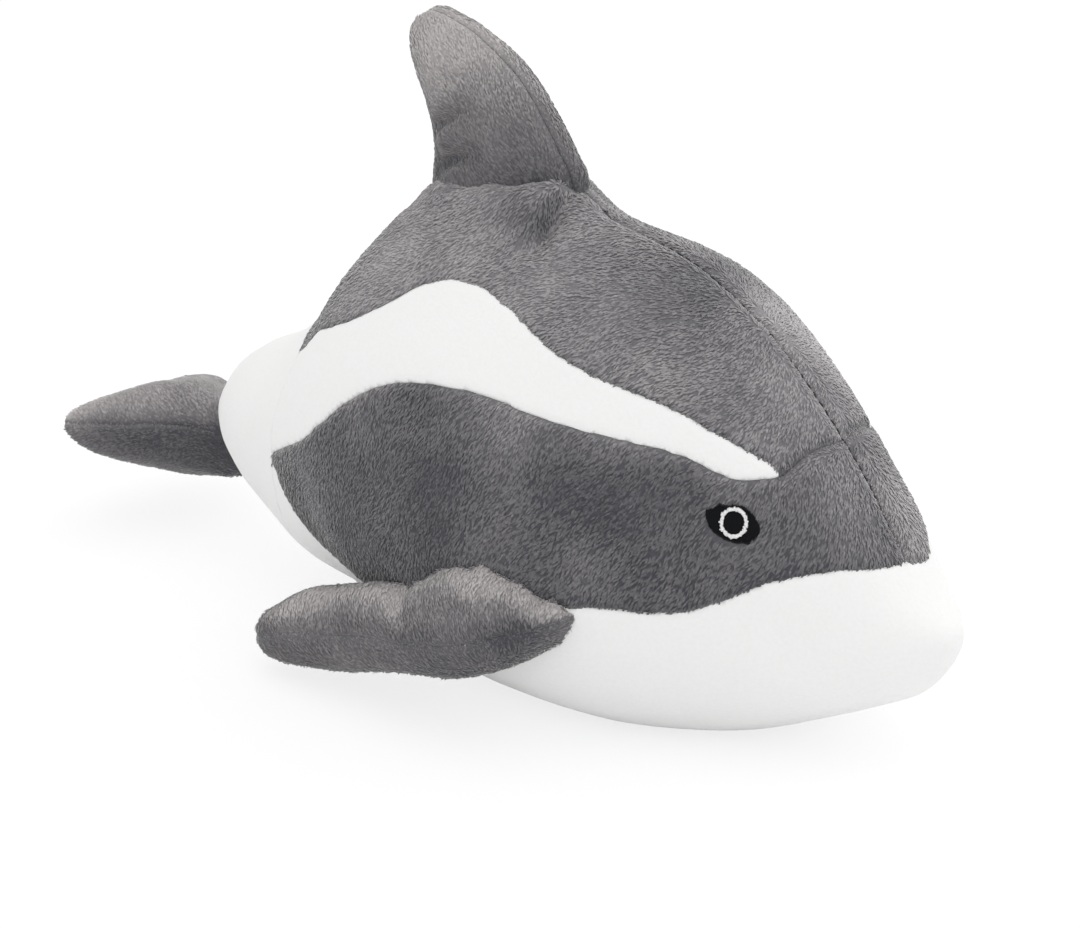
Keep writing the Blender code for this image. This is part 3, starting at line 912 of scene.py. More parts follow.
@dataclass
class PaddedSkin:
    """A stuffed form: panels sewn edge to edge, puffed out between their seams."""

    name: str
    panels: Tuple[Panel, ...]
    inside: Tuple[str, ...]
    voxel: float = 3.3 * MM
    swell: float = 2.0 * MM
    fill: float = 0.85
    lumps: float = 0.5 * MM
    shrink: float = 1.0 * MM
    soften: int = 5
    anchors: Tuple[str, ...] = ()
    shapings: Tuple[Shaping, ...] = ()
    claims: Tuple[Claim, ...] = ()
    seams: Dict[frozenset, SeamKind] = field(default_factory=dict)
    seed: int = 1

    def form(self) -> bpy.types.Object:
        """Closed form over the panels' solids, remeshed evenly.

        Returns:
            The form.
        """
        points: List[np.ndarray] = []
        faces: List[List[int]] = []
        count = 0
        for node in [p.node for p in self.panels] + list(self.inside):
            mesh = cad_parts[node].data
            points.append(points_of(mesh))
            faces += [[count + k for k in p.vertices] for p in mesh.polygons]
            count += len(mesh.vertices)
        piece = object_of(self.name + "_form", np.concatenate(points), faces)
        weld(piece)
        apply_modifier(piece, "REMESH", mode="VOXEL", voxel_size=self.voxel, use_smooth_shade=True)
        largest_part(piece)
        apply_modifier(piece, "SMOOTH", factor=0.5, iterations=self.soften)
        return piece

    def panel_distances(self, points: np.ndarray) -> np.ndarray:
        """Distance from each point to each panel."""
        return np.stack([distances(tree_of([p.node]), points) for p in self.panels], 1)

    def inflate(self, piece: bpy.types.Object) -> None:
        """Puff the panels out between the seams with a short cloth simulation.

        Args:
            piece: The form, changed in place.
        """
        mesh = piece.data
        rest = points_of(mesh)
        normals = normals_of(mesh)
        start = rest - normals * self.shrink
        set_points(mesh, start)
        near = np.sort(self.panel_distances(rest), axis=1)
        held = (near[:, 1] - near[:, 0]) < 0.8 * self.voxel
        if self.anchors:
            held |= distances(tree_of(self.anchors), rest) < self.voxel
        group = piece.vertex_groups.new(name="sewn")
        group.add([int(k) for k in np.where(held)[0]], 1.0, "REPLACE")
        cloth = piece.modifiers.new("cloth", "CLOTH")
        for key, value in CLOTH_SETTINGS.items():
            setattr(cloth.settings, key, value)
        cloth.settings.effector_weights.gravity = 0.0
        cloth.point_cache.frame_start = 1
        cloth.point_cache.frame_end = CLOTH_FRAMES
        for step in range(1, CLOTH_FRAMES + 1):
            bpy.context.scene.frame_set(step)
        select_only(piece)
        bpy.ops.object.modifier_apply(modifier=cloth.name)
        bpy.context.scene.frame_set(1)
        moved = points_of(mesh) - start
        size = np.linalg.norm(moved, axis=1)
        usual = max(float(np.percentile(size, 97)), 1e-9)
        moved *= min(1.0, self.swell / usual)
        size = np.linalg.norm(moved, axis=1)
        moved *= (np.minimum(size, self.swell) / np.maximum(size, 1e-9))[:, None]
        set_points(mesh, start + moved)

    def finish_form(self) -> bpy.types.Object:
        """The whole closed surface at full detail.

        Returns:
            The surface.
        """
        piece = self.form()
        self.inflate(piece)
        apply_modifier(piece, "SMOOTH", factor=0.5, iterations=2)
        apply_modifier(piece, "SUBSURF", levels=1, render_levels=1)
        mesh = piece.data
        points = points_of(mesh)
        normals = normals_of(mesh)
        self.near = self.panel_distances(points)
        self.laps = self.laps_at(points, normals)
        points = points + normals * (self.lumps * sway(points, 34 * MM, self.seed))[:, None]
        for shaping in self.shapings:
            points = shaping.press(points, normals)
            set_points(mesh, points)
            normals = normals_of(mesh)
        points[:, 2] = np.maximum(points[:, 2], CLOTH_CLEARANCE)
        set_points(mesh, points)
        return piece

    def laps_at(self, points: np.ndarray, normals: np.ndarray) -> Dict[Tuple[int, int], np.ndarray]:
        """How far each pair's seam is moved.

        Args:
            points: Vertex places.
            normals: Vertex normals.

        Returns:
            One distance per vertex for each pair of panel numbers.
        """
        order = [p.node for p in self.panels]
        laps: Dict[Tuple[int, int], np.ndarray] = {}
        for claim in self.claims:
            one, two = order.index(claim.winner), order.index(claim.loser)
            reach = claim.reach_at(points, normals)
            laps[(one, two)] = laps.get((one, two), 0.0) + reach
            laps[(two, one)] = laps.get((two, one), 0.0) - reach
        return laps

    def seam_kind(self, first: int, second: int) -> SeamKind:
        """Kind of the seam between two panels."""
        pair = frozenset((self.panels[first].node, self.panels[second].node))
        return self.seams.get(pair, SeamKind.PANEL)

    def cut_seams(self, build: bmesh.types.BMesh, label: Dict[bmesh.types.BMVert, int]) -> SeamMarks:
        """Put a new vertex on every edge that crosses a seam.

        Args:
            build: The whole surface, changed in place.
            label: Panel number of each of its vertices.

        Returns:
            Depth and width of the groove at each new vertex.
        """
        near = self.near
        marks: SeamMarks = {}
        for edge in list(build.edges):
            a, b = edge.verts
            one, two = label[a], label[b]
            if one == two:
                continue
            lap = self.laps.get((one, two), np.zeros(len(near)))
            at_a = near[a.index, one] - near[a.index, two] - lap[a.index]
            at_b = near[b.index, one] - near[b.index, two] - lap[b.index]
            share = min(max(abs(at_a) / max(abs(at_a) + abs(at_b), 1e-9), 0.12), 0.88)
            _, fresh = bmesh.utils.edge_split(edge, a, share)
            marks[fresh] = self.seam_kind(one, two).value
        return marks

    def faces_by_panel(self, build: bmesh.types.BMesh,
                       label: Dict[bmesh.types.BMVert, int]) -> Dict[int, List[List[int]]]:
        """Give every face to the panel that most of its vertices belong to.

        Args:
            build: The cut surface.
            label: Panel number of each vertex that it had before the cut.

        Returns:
            Faces of each panel number, as vertex numbers.
        """
        groups: Dict[int, List[List[int]]] = {}
        for face in build.faces:
            votes = [label[v] for v in face.verts if v in label]
            if votes:
                winner = max(set(votes), key=votes.count)
            else:
                centre = np.array(face.calc_center_median()[:])
                winner = int(self.panel_distances(centre[None]).argmin())
            groups.setdefault(winner, []).append([v.index for v in face.verts])
        return groups

    def sew(self, piece: bpy.types.Object) -> Dict[Panel, bpy.types.Object]:
        """Cut the surface along its seams and draw the seams in.

        Args:
            piece: The whole surface, which is removed.

        Returns:
            The sheet of cloth of each panel.
        """
        owner = self.near.argmin(1)
        for (one, two), reach in self.laps.items():
            owner[(owner == two) & (self.near[:, one] < reach)] = one
        build = bmesh.new()
        build.from_mesh(piece.data)
        build.verts.ensure_lookup_table()
        label = {v: int(owner[v.index]) for v in build.verts}
        marks = self.cut_seams(build, label)
        split_faces(build, marks)
        even_seams(marks)
        draw_in(build, marks)
        self.parting = seam_tree(marks, OPEN_SEAMS)
        self.rims = seam_tree(marks, RIM_SEAMS)
        build.verts.index_update()
        build.normal_update()
        places = np.array([v.co[:] for v in build.verts])
        on_seam = np.array([v in marks for v in build.verts])
        tight = np.array([marks.get(v) == SeamKind.HIDDEN.value for v in build.verts])
        groups = self.faces_by_panel(build, label)
        build.free()
        bpy.data.objects.remove(piece, do_unlink=True)
        return {
            panel: self.panel_piece(panel, places, on_seam, tight, groups[k])
            for k, panel in enumerate(self.panels)
        }

    def panel_piece(self, panel: Panel, places: np.ndarray, on_seam: np.ndarray, tight: np.ndarray,
                    faces: List[List[int]]) -> bpy.types.Object:
        """One panel as its own open sheet, its edge a hair inside the seam.

        Args:
            panel: The panel.
            places: Vertex places of the whole surface.
            on_seam: Whether each vertex lies on a seam.
            tight: Whether that seam is closed so flat that it can't be seen.
            faces: The panel's faces.

        Returns:
            The panel's object.
        """
        used = sorted({k for f in faces for k in f})
        renamed = {k: i for i, k in enumerate(used)}
        points = places[used].copy()
        local = [[renamed[k] for k in f] for f in faces]
        inner: Dict[int, List[int]] = {}
        for f in faces:
            for k in f:
                if on_seam[k]:
                    inner.setdefault(k, []).extend(j for j in f if not on_seam[j])
        for k, friends in inner.items():
            if friends:
                pull = places[friends].mean(0) - places[k]
                length = np.linalg.norm(pull)
                back = 0.01 * MM if tight[k] else 0.05 * MM
                points[renamed[k]] += pull / max(length, 1e-9) * min(back, 0.3 * length)
        return object_of(panel.node + "_cloth", points, local)


CLOTH_THICKNESS = 1.2 * MM


def set_tone(piece: bpy.types.Object, values: np.ndarray) -> None:
    """Store the lightness of the pile at each vertex, painted light and painted shade included."""
    attribute = piece.data.attributes.new("tone", "FLOAT", "POINT")
    attribute.data.foreach_set("value", values.astype(np.float32))


def thicken(piece: bpy.types.Object) -> None:
    """Give a sheet of cloth its thickness, inward."""
    apply_modifier(piece, "SOLIDIFY", thickness=CLOTH_THICKNESS, offset=-1.0, use_rim=True)
    smooth(piece)


# Pile


@dataclass(frozen=True)
class EyePlace:
    """Where the eyes lie: offsets run forward along the face and down it, from the ring's centre."""

    centre: Vec3 = (0.1185, -0.0389, 0.0803)
    out: Vec3 = (0.534, -0.769, 0.351)
    bare_length: float = 8.0 * MM
    bare_height: float = 6.2 * MM

    def axes(self, side: str) -> Tuple[np.ndarray, np.ndarray, np.ndarray, np.ndarray]:
        """Axes of one side's eye.

        Args:
            side: right or left.

        Returns:
            Its centre and its forward, down and outward directions.
        """
        flip = np.array((1.0, 1.0 if side == "right" else -1.0, 1.0))
        out = unit(np.array(self.out))
        forward = unit(np.array((-out[1], out[0], 0.0)))
        down = np.cross(out, forward)
        down = down if down[2] < 0 else -down
        return np.array(self.centre) * flip, forward * flip, down * flip, out * flip

    def covers(self, points: np.ndarray) -> np.ndarray:
        """Which points lie under one of the eyes.

        Args:
            points: Places on the cloth.

        Returns:
            True where the cloth is stitched over.
        """
        hidden = np.zeros(len(points), bool)
        for side in ("right", "left"):
            centre, forward, down, _ = self.axes(side)
            away = points - centre
            near = np.linalg.norm(away, axis=1) < 0.02
            across = away @ forward / self.bare_length
            below = away @ down / self.bare_height
            hidden |= near & (across ** 2 + below ** 2 < 1.0)
        return hidden


EYE = EyePlace()


@dataclass(frozen=True)
class Pile:
    """Short tufts that lie along the nap."""

    per_mm2: float
    length: float
    width: float
    lean: float
    height: float
    relief: float
    seed: int
    bare: Tuple[float, float] = (0.3, 1.3)
    turn_sway: Tuple[float, float] = (0.30, 26 * MM)
    turn_spread: float = 0.20
    lean_sway: Tuple[float, float] = (0.35, 30 * MM)
    lean_spread: float = 0.06
    lean_limits: Tuple[float, float] = (0.03, 0.9)
    length_spread: Tuple[float, float] = (0.75, 1.2)
    width_spread: Tuple[float, float] = (0.7, 1.25)
    rim_reach: float = 2.6 * MM
    rim_shortest: float = 0.45
    tone_spread: float = 0.05
    sunk: float = 0.15 * MM

    def tuft(self) -> Tuple[np.ndarray, List[List[int]]]:
        """One tuft along +Z with a length and width of 1: a cone of three sides laid over, pointed at both ends.

        Returns:
            Its points and faces.
        """
        bpy.ops.mesh.primitive_cone_add(vertices=3, radius1=0.5, radius2=0.0, depth=1.0, location=(0, 0, 0))
        cone = bpy.context.active_object
        points = points_of(cone.data)
        faces = [list(p.vertices) for p in cone.data.polygons]
        bpy.data.objects.remove(cone, do_unlink=True)
        base = [k for k in range(4) if points[k, 2] < 0]
        root = max(base, key=lambda k: abs(points[k, 1]))
        sides = [k for k in base if k != root]
        tip = next(k for k in range(4) if k not in base)
        facing = np.sign(points[root, 1])
        points[root] = (0.0, 0.0, 0.0)
        points[tip] = (0.0, 0.0, 1.0)
        for k in sides:
            points[k] = (0.5 * np.sign(points[k, 0]), -facing, 0.55)
        if facing > 0:
            points[:, 1] *= -1
            faces = [list(reversed(f)) for f in faces]
        return points, faces

    def rooted(self, sheet: bpy.types.Object, draw: np.random.Generator) -> Tuple[np.ndarray, np.ndarray]:
        """Random places all over a sheet.

        Args:
            sheet: The cloth.
            draw: Source of the random values.

        Returns:
            The places, and the cloth's outward direction at each.
        """
        mesh = sheet.data
        mesh.calc_loop_triangles()
        corners = np.empty(len(mesh.loop_triangles) * 3, np.int32)
        mesh.loop_triangles.foreach_get("vertices", corners)
        corners = corners.reshape(-1, 3)
        places = points_of(mesh)
        normals = normals_of(mesh)
        a, b, c = (places[corners[:, k]] for k in range(3))
        areas = 0.5 * np.linalg.norm(np.cross(b - a, c - a), axis=1)
        count = int(areas.sum() * 1e6 * self.per_mm2)
        picked = draw.choice(len(areas), count, p=areas / areas.sum())
        one = np.sqrt(draw.random((count, 1)))
        two = draw.random((count, 1))
        shares = (1 - one, one * (1 - two), one * two)
        roots = sum(s * places[corners[picked, k]] for k, s in enumerate(shares))
        up = unit(sum(s * normals[corners[picked, k]] for k, s in enumerate(shares)))
        return roots, up

    def lay_of(self, panel: Panel, roots: np.ndarray, up: np.ndarray,
               draw: np.random.Generator) -> Tuple[np.ndarray, np.ndarray]:
        """Way each tuft lies, a little unevenly, along the nap.

        Args:
            panel: The panel the tufts belong to.
            roots: Their places.
            up: The cloth's outward direction at each.
            draw: Source of the random values.

        Returns:
            The direction along each tuft and the one across it.
        """
        lay = panel.nap_at(roots)
        lay = unit(lay - up * (lay * up).sum(1, keepdims=True))
        side = np.cross(up, lay)
        amount, wave = self.turn_sway
        turn = (amount * sway(roots, wave, self.seed + 7) + draw.normal(0, self.turn_spread, len(roots)))[:, None]
        lay = lay * np.cos(turn) + side * np.sin(turn)
        return lay, np.cross(up, lay)

    def shade_at(self, z: float) -> float:
        """Change of tone along a tuft: painted shade at its root, where the tufts shade each other, lightest in the
        middle and a little darker at the tip.
        """
        return -0.20 if z < 0.1 else 0.04 if z < 0.9 else -0.05

    def grow(self, name: str, sheet: bpy.types.Object, panel: Panel, parting: KDTree,
             rims: KDTree) -> bpy.types.Object:
        """Cover a sheet with tufts.

        Args:
            name: Name of the new piece.
            sheet: The cloth they grow on.
            panel: The panel it belongs to.
            parting: Places along open seams, which stay bare.
            rims: Places along seams that draw the pile short.

        Returns:
            All tufts as one object.
        """
        draw = np.random.default_rng(self.seed)
        roots, up = self.rooted(sheet, draw)
        clear = ~EYE.covers(roots) & (nearest(parting, roots) > draw.uniform(*self.bare, len(roots)) * MM)
        roots, up = roots[clear], up[clear]
        beside = nearest(rims, roots)
        count = len(roots)
        lay, side = self.lay_of(panel, roots, up, draw)
        amount, wave = self.lean_sway
        lean = self.lean * (1 + amount * sway(roots, wave, self.seed + 11)) + draw.normal(0, self.lean_spread, count)
        lean = np.clip(lean, *self.lean_limits)[:, None]
        drawn_short = np.clip(beside / self.rim_reach, self.rim_shortest, 1.0)
        long = (self.length * draw.uniform(*self.length_spread, count) * drawn_short)[:, None]
        wide = (self.width * draw.uniform(*self.width_spread, count))[:, None]
        # Each tuft's tone holds its panel's painted light and shade, with random spread.
        tone = panel.tone_at(roots, up) + draw.normal(0, self.tone_spread, count)
        shape, faces = self.tuft()
        parts = []
        shades = []
        faced = []
        for x, y, z in shape:
            rise = np.sin(lean) * long * min(z, 0.62) + y * self.height - self.sunk
            parts.append(roots + side * (x * wide) + lay * (np.cos(lean) * long * (z - 0.3)) + up * rise)
            shades.append(tone + self.shade_at(z))
            faced.append(unit(up + self.relief * (side * (2 * x) + lay * (z - 0.55))))
        points = np.stack(parts, 1).reshape(-1, 3)
        points[:, 2] = np.maximum(points[:, 2], PILE_CLEARANCE)
        step = len(shape)
        every = [[k * step + j for j in f] for k in range(count) for f in faces]
        tufts = object_of(name, points, every)
        tufts.data.normals_split_custom_set_from_vertices(np.stack(faced, 1).reshape(-1, 3).tolist())
        set_tone(tufts, np.stack(shades, 1).ravel())
        return tufts


# Embroidery


@dataclass
class EmbroideredEye:
    """A dark satin-stitched eye patch with a pale ring of radial stitches."""

    side: str
    face: bpy.types.Object
    outline: Tuple[Tuple[float, float], ...] = (
        (-8.1, -3.6), (-5.7, -4.4), (-4.3, -5.6), (-2.2, -4.9), (-0.2, -5.3), (1.7, -4.9), (3.1, -4.6),
        (4.7, -3.4), (6.0, -1.9), (7.2, 0.3), (7.4, 2.6), (7.0, 3.8), (5.8, 4.9), (3.9, 6.4), (2.6, 6.0),
        (0.5, 6.2), (-2.9, 5.1), (-5.3, 3.6), (-7.3, 1.3), (-8.0, -1.1),
    )
    thread: float = 0.46 * MM
    ring_inner: Tuple[float, float] = (2.95 * MM, 3.35 * MM)
    ring_outer: Tuple[float, float] = (4.25 * MM, 4.65 * MM)
    ring_stitches: int = 52
    patch_lift: float = 0.55 * MM
    ring_lift: float = 1.05 * MM
    ring_thread: float = 0.60 * MM

    def __post_init__(self) -> None:
        """Set the eye's axes and the cloth it is stitched on."""
        self.centre, self.long, self.down, self.out = EYE.axes(self.side)
        self.skin = search_tree([self.face.data])

    def on_face(self, u: float, v: float, lift: float) -> np.ndarray:
        """Point over the face.

        Args:
            u: Metres along the eye.
            v: Metres down from its centre line.
            lift: Metres above the cloth.

        Returns:
            The point.
        """
        start = self.centre + self.long * u + self.down * v + self.out * 0.02
        hit = self.skin.ray_cast(Vector(start), Vector(-self.out))[0]
        place = np.array(hit) if hit is not None else start - self.out * 0.02
        return place + self.out * lift

    def stitch(self, ends: Sequence[Tuple[float, float]], lift: float, thick: float) -> Tuple[np.ndarray, list]:
        """One stitch as a thin rounded thread over the face.

        Args:
            ends: Its two ends as (u, v).
            lift: Height of its middle line above the cloth.
            thick: Thread width.

        Returns:
            Its points and faces.
        """
        sections = 7
        around = 6
        start, end = np.array(ends[0]), np.array(ends[1])
        across = end - start
        across = np.array((-across[1], across[0])) / max(np.linalg.norm(across), 1e-9)
        rows = []
        for k in range(sections):
            t = k / (sections - 1)
            taper = math.sqrt(max(1 - (2 * t - 1) ** 4, 0.12))
            spot = start + (end - start) * t
            middle = self.on_face(spot[0], spot[1], lift * taper)
            right = self.long * across[0] + self.down * across[1]
            for j in range(around):
                turn = 2 * math.pi * j / around
                half = 0.5 * thick * taper
                rows.append(middle + right * half * math.cos(turn) + self.out * 0.8 * half * math.sin(turn))
        faces = []
        for k in range(sections - 1):
            for j in range(around):
                i = (j + 1) % around
                faces.append([k * around + j, k * around + i, (k + 1) * around + i, (k + 1) * around + j])
        faces.append(list(reversed(range(around))))
        faces.append([(sections - 1) * around + j for j in range(around)])
        return np.array(rows), faces

    def gathered(self, name: str, stitches: list) -> bpy.types.Object:
        """Join stitches into one object with faces outward.

        Args:
            name: Name of the object.
            stitches: Points and faces of each stitch.

        Returns:
            The object.
        """
        points: List[np.ndarray] = []
        faces: List[List[int]] = []
        count = 0
        for places, local in stitches:
            points.append(places)
            faces += [[count + k for k in f] for f in local]
            count += len(places)
        piece = object_of(name, np.concatenate(points), faces)
        build = bmesh.new()
        build.from_mesh(piece.data)
        bmesh.ops.recalc_face_normals(build, faces=build.faces)
        build.to_mesh(piece.data)
        build.free()
        smooth(piece)
        return piece

    def span_at(self, u: float) -> Tuple[float, float]:
        """Upper and lower edge of the patch at a place along it.

        Args:
            u: Metres along the eye.

        Returns:
            The two edges, as metres down from its centre line.
        """
        points = np.array(self.outline) * MM
        cuts = []
        for k in range(len(points)):
            a, b = points[k], points[(k + 1) % len(points)]
            if (a[0] - u) * (b[0] - u) <= 0 and a[0] != b[0]:
                cuts.append(a[1] + (b[1] - a[1]) * (u - a[0]) / (b[0] - a[0]))
        return min(cuts), max(cuts)

    def patch(self) -> bpy.types.Object:
        """The dark patch as columns of satin stitches.

        Returns:
            The patch.
        """
        draw = np.random.default_rng(31)
        low, high = -7.9 * MM, 7.2 * MM
        count = int((high - low) / (0.8 * self.thread))
        stitches = []
        for k in range(count + 1):
            u = low + (high - low) * k / count
            top, bottom = self.span_at(u)
            top += draw.normal(0, 0.12 * MM)
            bottom += draw.normal(0, 0.12 * MM)
            lift = self.patch_lift + 0.08 * MM * (k % 2)
            stitches.append(self.stitch(((u, top), (u + 0.15 * MM, bottom)), lift, self.thread * 1.25))
        return self.gathered("eye_patch_" + self.side + "_stitches", stitches)

    def ring(self) -> bpy.types.Object:
        """The pale ring as radial satin stitches.

        Returns:
            The ring.
        """
        draw = np.random.default_rng(37)
        stitches = []
        for k in range(self.ring_stitches):
            turn = 2 * math.pi * k / self.ring_stitches
            way = np.array((math.cos(turn), math.sin(turn)))
            twist = np.array((-math.sin(turn), math.cos(turn))) * 0.25 * MM
            inner = way * (np.array(self.ring_inner) + draw.normal(0, 0.10 * MM)) - twist
            outer = way * (np.array(self.ring_outer) + draw.normal(0, 0.16 * MM)) + twist
            stitches.append(self.stitch((tuple(inner), tuple(outer)), self.ring_lift, self.ring_thread))
        return self.gathered("eye_ring_" + self.side + "_stitches", stitches)

    def build(self) -> None:
        """Make and dress the eye."""
        patch = self.patch()
        dress(patch, BLACK_THREAD.material(), Slot.BLACK_THREAD, "eye_patch_" + self.side)
        ring = self.ring()
        dress(ring, WHITE_THREAD.material(), Slot.WHITE_THREAD, "eye_ring_" + self.side)


def dress(piece: bpy.types.Object, material: bpy.types.Material, slot: Slot, *nodes: str) -> None:
    """Give a piece its material, attach it to the body and hide the CAD nodes it stands for.

    Args:
        piece: The finished piece.
        material: Its only material.
        slot: Its material slot in the record; not used.
        *nodes: CAD nodes that it replaces, if any.
    """
    piece.data.materials.clear()
    piece.data.materials.append(material)
    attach(piece, BODY)
    if nodes:
        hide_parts(*nodes)
    log.info("%s: %d faces", piece.name, len(piece.data.polygons))


@dataclass
class SeamStitches:
    """Closing stitches along the midline of the back and the forehead."""

    sheets: Tuple[bpy.types.Object, ...]
    first: float = 0.064
    last: float = 0.153
    pitch: float = 3.2 * MM
    length: float = 2.0 * MM
    thick: float = 0.55 * MM

    def line(self) -> np.ndarray:
        """Places of the seam, read from above.

        Returns:
            One row per place, from rear to front.
        """
        tree = search_tree([sheet.data for sheet in self.sheets])
        found = []
        for x in np.arange(self.first, self.last, 0.5 * MM):
            hits = [tree.ray_cast(Vector((x, y, 0.3)), Vector((0, 0, -1)))[0] for y in (-0.6 * MM, 0.6 * MM)]
            hits = [h for h in hits if h is not None]
            if hits:
                found.append((x, 0.0, min(h[2] for h in hits)))
        return np.array(found)

    def build(self) -> bpy.types.Object:
        """Short threads end to end in the seam.

        Returns:
            The stitches.
        """
        line = self.line()
        steps = np.linalg.norm(np.diff(line, axis=0), axis=1)
        run = np.concatenate(([0.0], np.cumsum(steps)))
        bpy.ops.mesh.primitive_cylinder_add(vertices=8, radius=0.5, depth=1.0)
        rod = bpy.context.active_object
        bpy.ops.object.mode_set(mode="EDIT")
        bpy.ops.mesh.select_all(action="SELECT")
        bpy.ops.mesh.bevel(offset=0.22, segments=2)
        bpy.ops.object.mode_set(mode="OBJECT")
        shape = points_of(rod.data)
        faces = [list(p.vertices) for p in rod.data.polygons]
        bpy.data.objects.remove(rod, do_unlink=True)
        points = []
        every: List[List[int]] = []
        draw = np.random.default_rng(5)
        for k, s in enumerate(np.arange(self.pitch, run[-1] - self.length, self.pitch)):
            here = np.array([np.interp(s, run, line[:, j]) for j in range(3)])
            there = np.array([np.interp(s + 1 * MM, run, line[:, j]) for j in range(3)])
            way = unit(there - here)
            side = np.array((0.0, 1.0, 0.0))
            slant = 0.25 * (1 if k % 2 else -1) + draw.normal(0, 0.08)
            way = unit(way * math.cos(slant) + side * math.sin(slant))
            side = unit(side - way * (side @ way))
            up = np.cross(way, side)
            up *= np.sign(up[2])
            shift = len(points) * len(shape)
            points.append(here + up * 0.1 * MM + shape[:, :1] * side * self.thick
                          + shape[:, 1:2] * up * self.thick * 0.8 + shape[:, 2:3] * way * self.length)
            every += [[shift + j for j in f] for f in faces]
        return object_of("back_seam_stitches", np.concatenate(points), every)


# Assemblies

BACK_NAP = (-1.0, 0.0, -1.26)
FLANK_NAP = (-0.30, 0.0, -1.0)
FACE_NAP = (-1.0, 0.0, -1.45)
BELLY_NAP = (-1.0, 0.0, -0.35)
TAIL_NAP = (-1.0, 0.0, -0.5)
FIN_NAP = (-0.64, 0.0, 0.77)
PECTORAL_NAP = (0.5, -0.87, -0.5)
FLUKE_NAP = (-1.0, 0.5, 0.15)

BODY_SKINS = (
    "tail_piece", "belly_panel", "face_panel_right", "face_panel_left", "side_band_right",
    "side_band_left", "back_panel_right", "back_panel_left",
)


# Painted light and shade: the pile is painted lighter where it faces up, the back fin lighter higher up, and the
# fluke painted darker toward the body.
BACK_TONE = PaintedLightRule(PaintedLightBy.SLOPE, 0.22, 0.45, -0.10, 0.62)
FACE_TONE = PaintedLightRule(PaintedLightBy.SLOPE, 0.18, 0.36, -0.05, 0.80)
PLAIN_TONE = PaintedLightRule(PaintedLightBy.SLOPE, 0.5, 0.0, 0.0, 1.0)
FIN_TONE = PaintedLightRule(PaintedLightBy.HEIGHT, 0.22, 0.64, 0.146, 0.204)
PECTORAL_TONE = PaintedLightRule(PaintedLightBy.SLOPE, 0.34, 0.60, 0.12, 0.80)
FLUKE_TONE = PaintedLightRule(PaintedLightBy.SLOPE, 0.36, 0.58, -0.40, 0.90, 0.54, -0.164)

# Spots of painted tone, on both sides or the left: some stand for pile a hand has turned, some are painted light and
# painted shade.
BRUSHED_AND_LIT_SPOTS = (
    BrushedAndLitSpot((0.082, -0.017, 0.135), 15 * MM, -0.34),
    BrushedAndLitSpot((-0.019, -0.035, 0.128), 20 * MM, 0.14),
    BrushedAndLitSpot((0.089, -0.055, 0.085), 15 * MM, -0.24),
    BrushedAndLitSpot((-0.021, -0.064, 0.070), 15 * MM, 0.18),
    BrushedAndLitSpot((0.025, -0.068, 0.083), 15 * MM, -0.14),
    BrushedAndLitSpot((0.108, -0.050, 0.063), 14 * MM, 0.10),
    BrushedAndLitSpot((0.028, -0.018, 0.147), 8 * MM, -0.24),
    BrushedAndLitSpot((0.012, -0.026, 0.142), 13 * MM, 0.14),
    BrushedAndLitSpot((0.133, -0.033, 0.079), 13 * MM, -0.12),
    BrushedAndLitSpot((0.017, -0.060, 0.099), 12 * MM, -0.14),
    BrushedAndLitSpot((0.058, -0.066, 0.073), 12 * MM, 0.12),
    BrushedAndLitSpot((-0.024, -0.082, 0.030), 15 * MM, 0.34),
    BrushedAndLitSpot((0.066, -0.077, 0.045), 12 * MM, -0.16),
    # Painted light on the lit tip of the back fin.
    BrushedAndLitSpot((-0.022, -0.004, 0.198), 12 * MM, 0.24),
    BrushedAndLitSpot((0.020, -0.012, 0.146), 9 * MM, -0.10),
    # The next two: painted light on the far, left side of the forehead and back.
    BrushedAndLitSpot((0.148, -0.010, 0.074), 18 * MM, 0.40, True),
    BrushedAndLitSpot((0.100, -0.018, 0.118), 26 * MM, 0.22, True),
)


def pair(first: str, second: str) -> frozenset:
    """Two nodes that share a seam."""
    return frozenset((first, second))


def body_claims() -> Tuple[Claim, ...]:
    """White cloth that reaches up under the hanging pile of the back, and the gray's low front edge.

    Returns:
        The claims of both sides.
    """
    claims: List[Claim] = []
    for side, flip in (("right", 1.0), ("left", -1.0)):
        band, back, face = ("side_band_" + side, "back_panel_" + side, "face_panel_" + side)
        low = 0.3 if side == "right" else 4.2
        spots = (
            (back, "tail_piece", 3.4, (-0.0600, -0.0170, 0.0990), 12),
            (back, band, 4.0, (-0.0540, -0.0320, 0.1010), 10),
            (band, back, 1.2, (0.0060, -0.0407, 0.1303), 24),
            (back, band, 1.0, (0.0547, -0.0435, 0.1204), 15),
            (band, back, 1.3, (0.0930, -0.0400, 0.1095), 22),
            (band, face, 1.2, (0.0167, -0.0585, 0.1067), 26),
            (face, band, 1.4, (0.0920, -0.0470, 0.0990), 20),
            (band, face, 2.2, (0.1170, -0.0330, 0.0930), 11),
            (face, "belly_panel", 1.2, (0.1000, -0.0570, 0.0530), 15),
            ("belly_panel", face, 0.8, (0.1270, -0.0400, 0.0580), 12),
            (face, "belly_panel", low, (0.1558, -0.0100, 0.0610), 8),
        )
        claims.append(Claim(back, "tail_piece", 1.0 * MM))
        claims.append(Claim(band, back, 1.5 * MM))
        claims.append(Claim("belly_panel", face, 0.5 * MM))
        for winner, loser, reach, (x, y, z), radius in spots:
            claims.append(Claim(winner, loser, reach * MM, centre=(x, y * flip, z), radius=radius * MM))
    return tuple(claims)


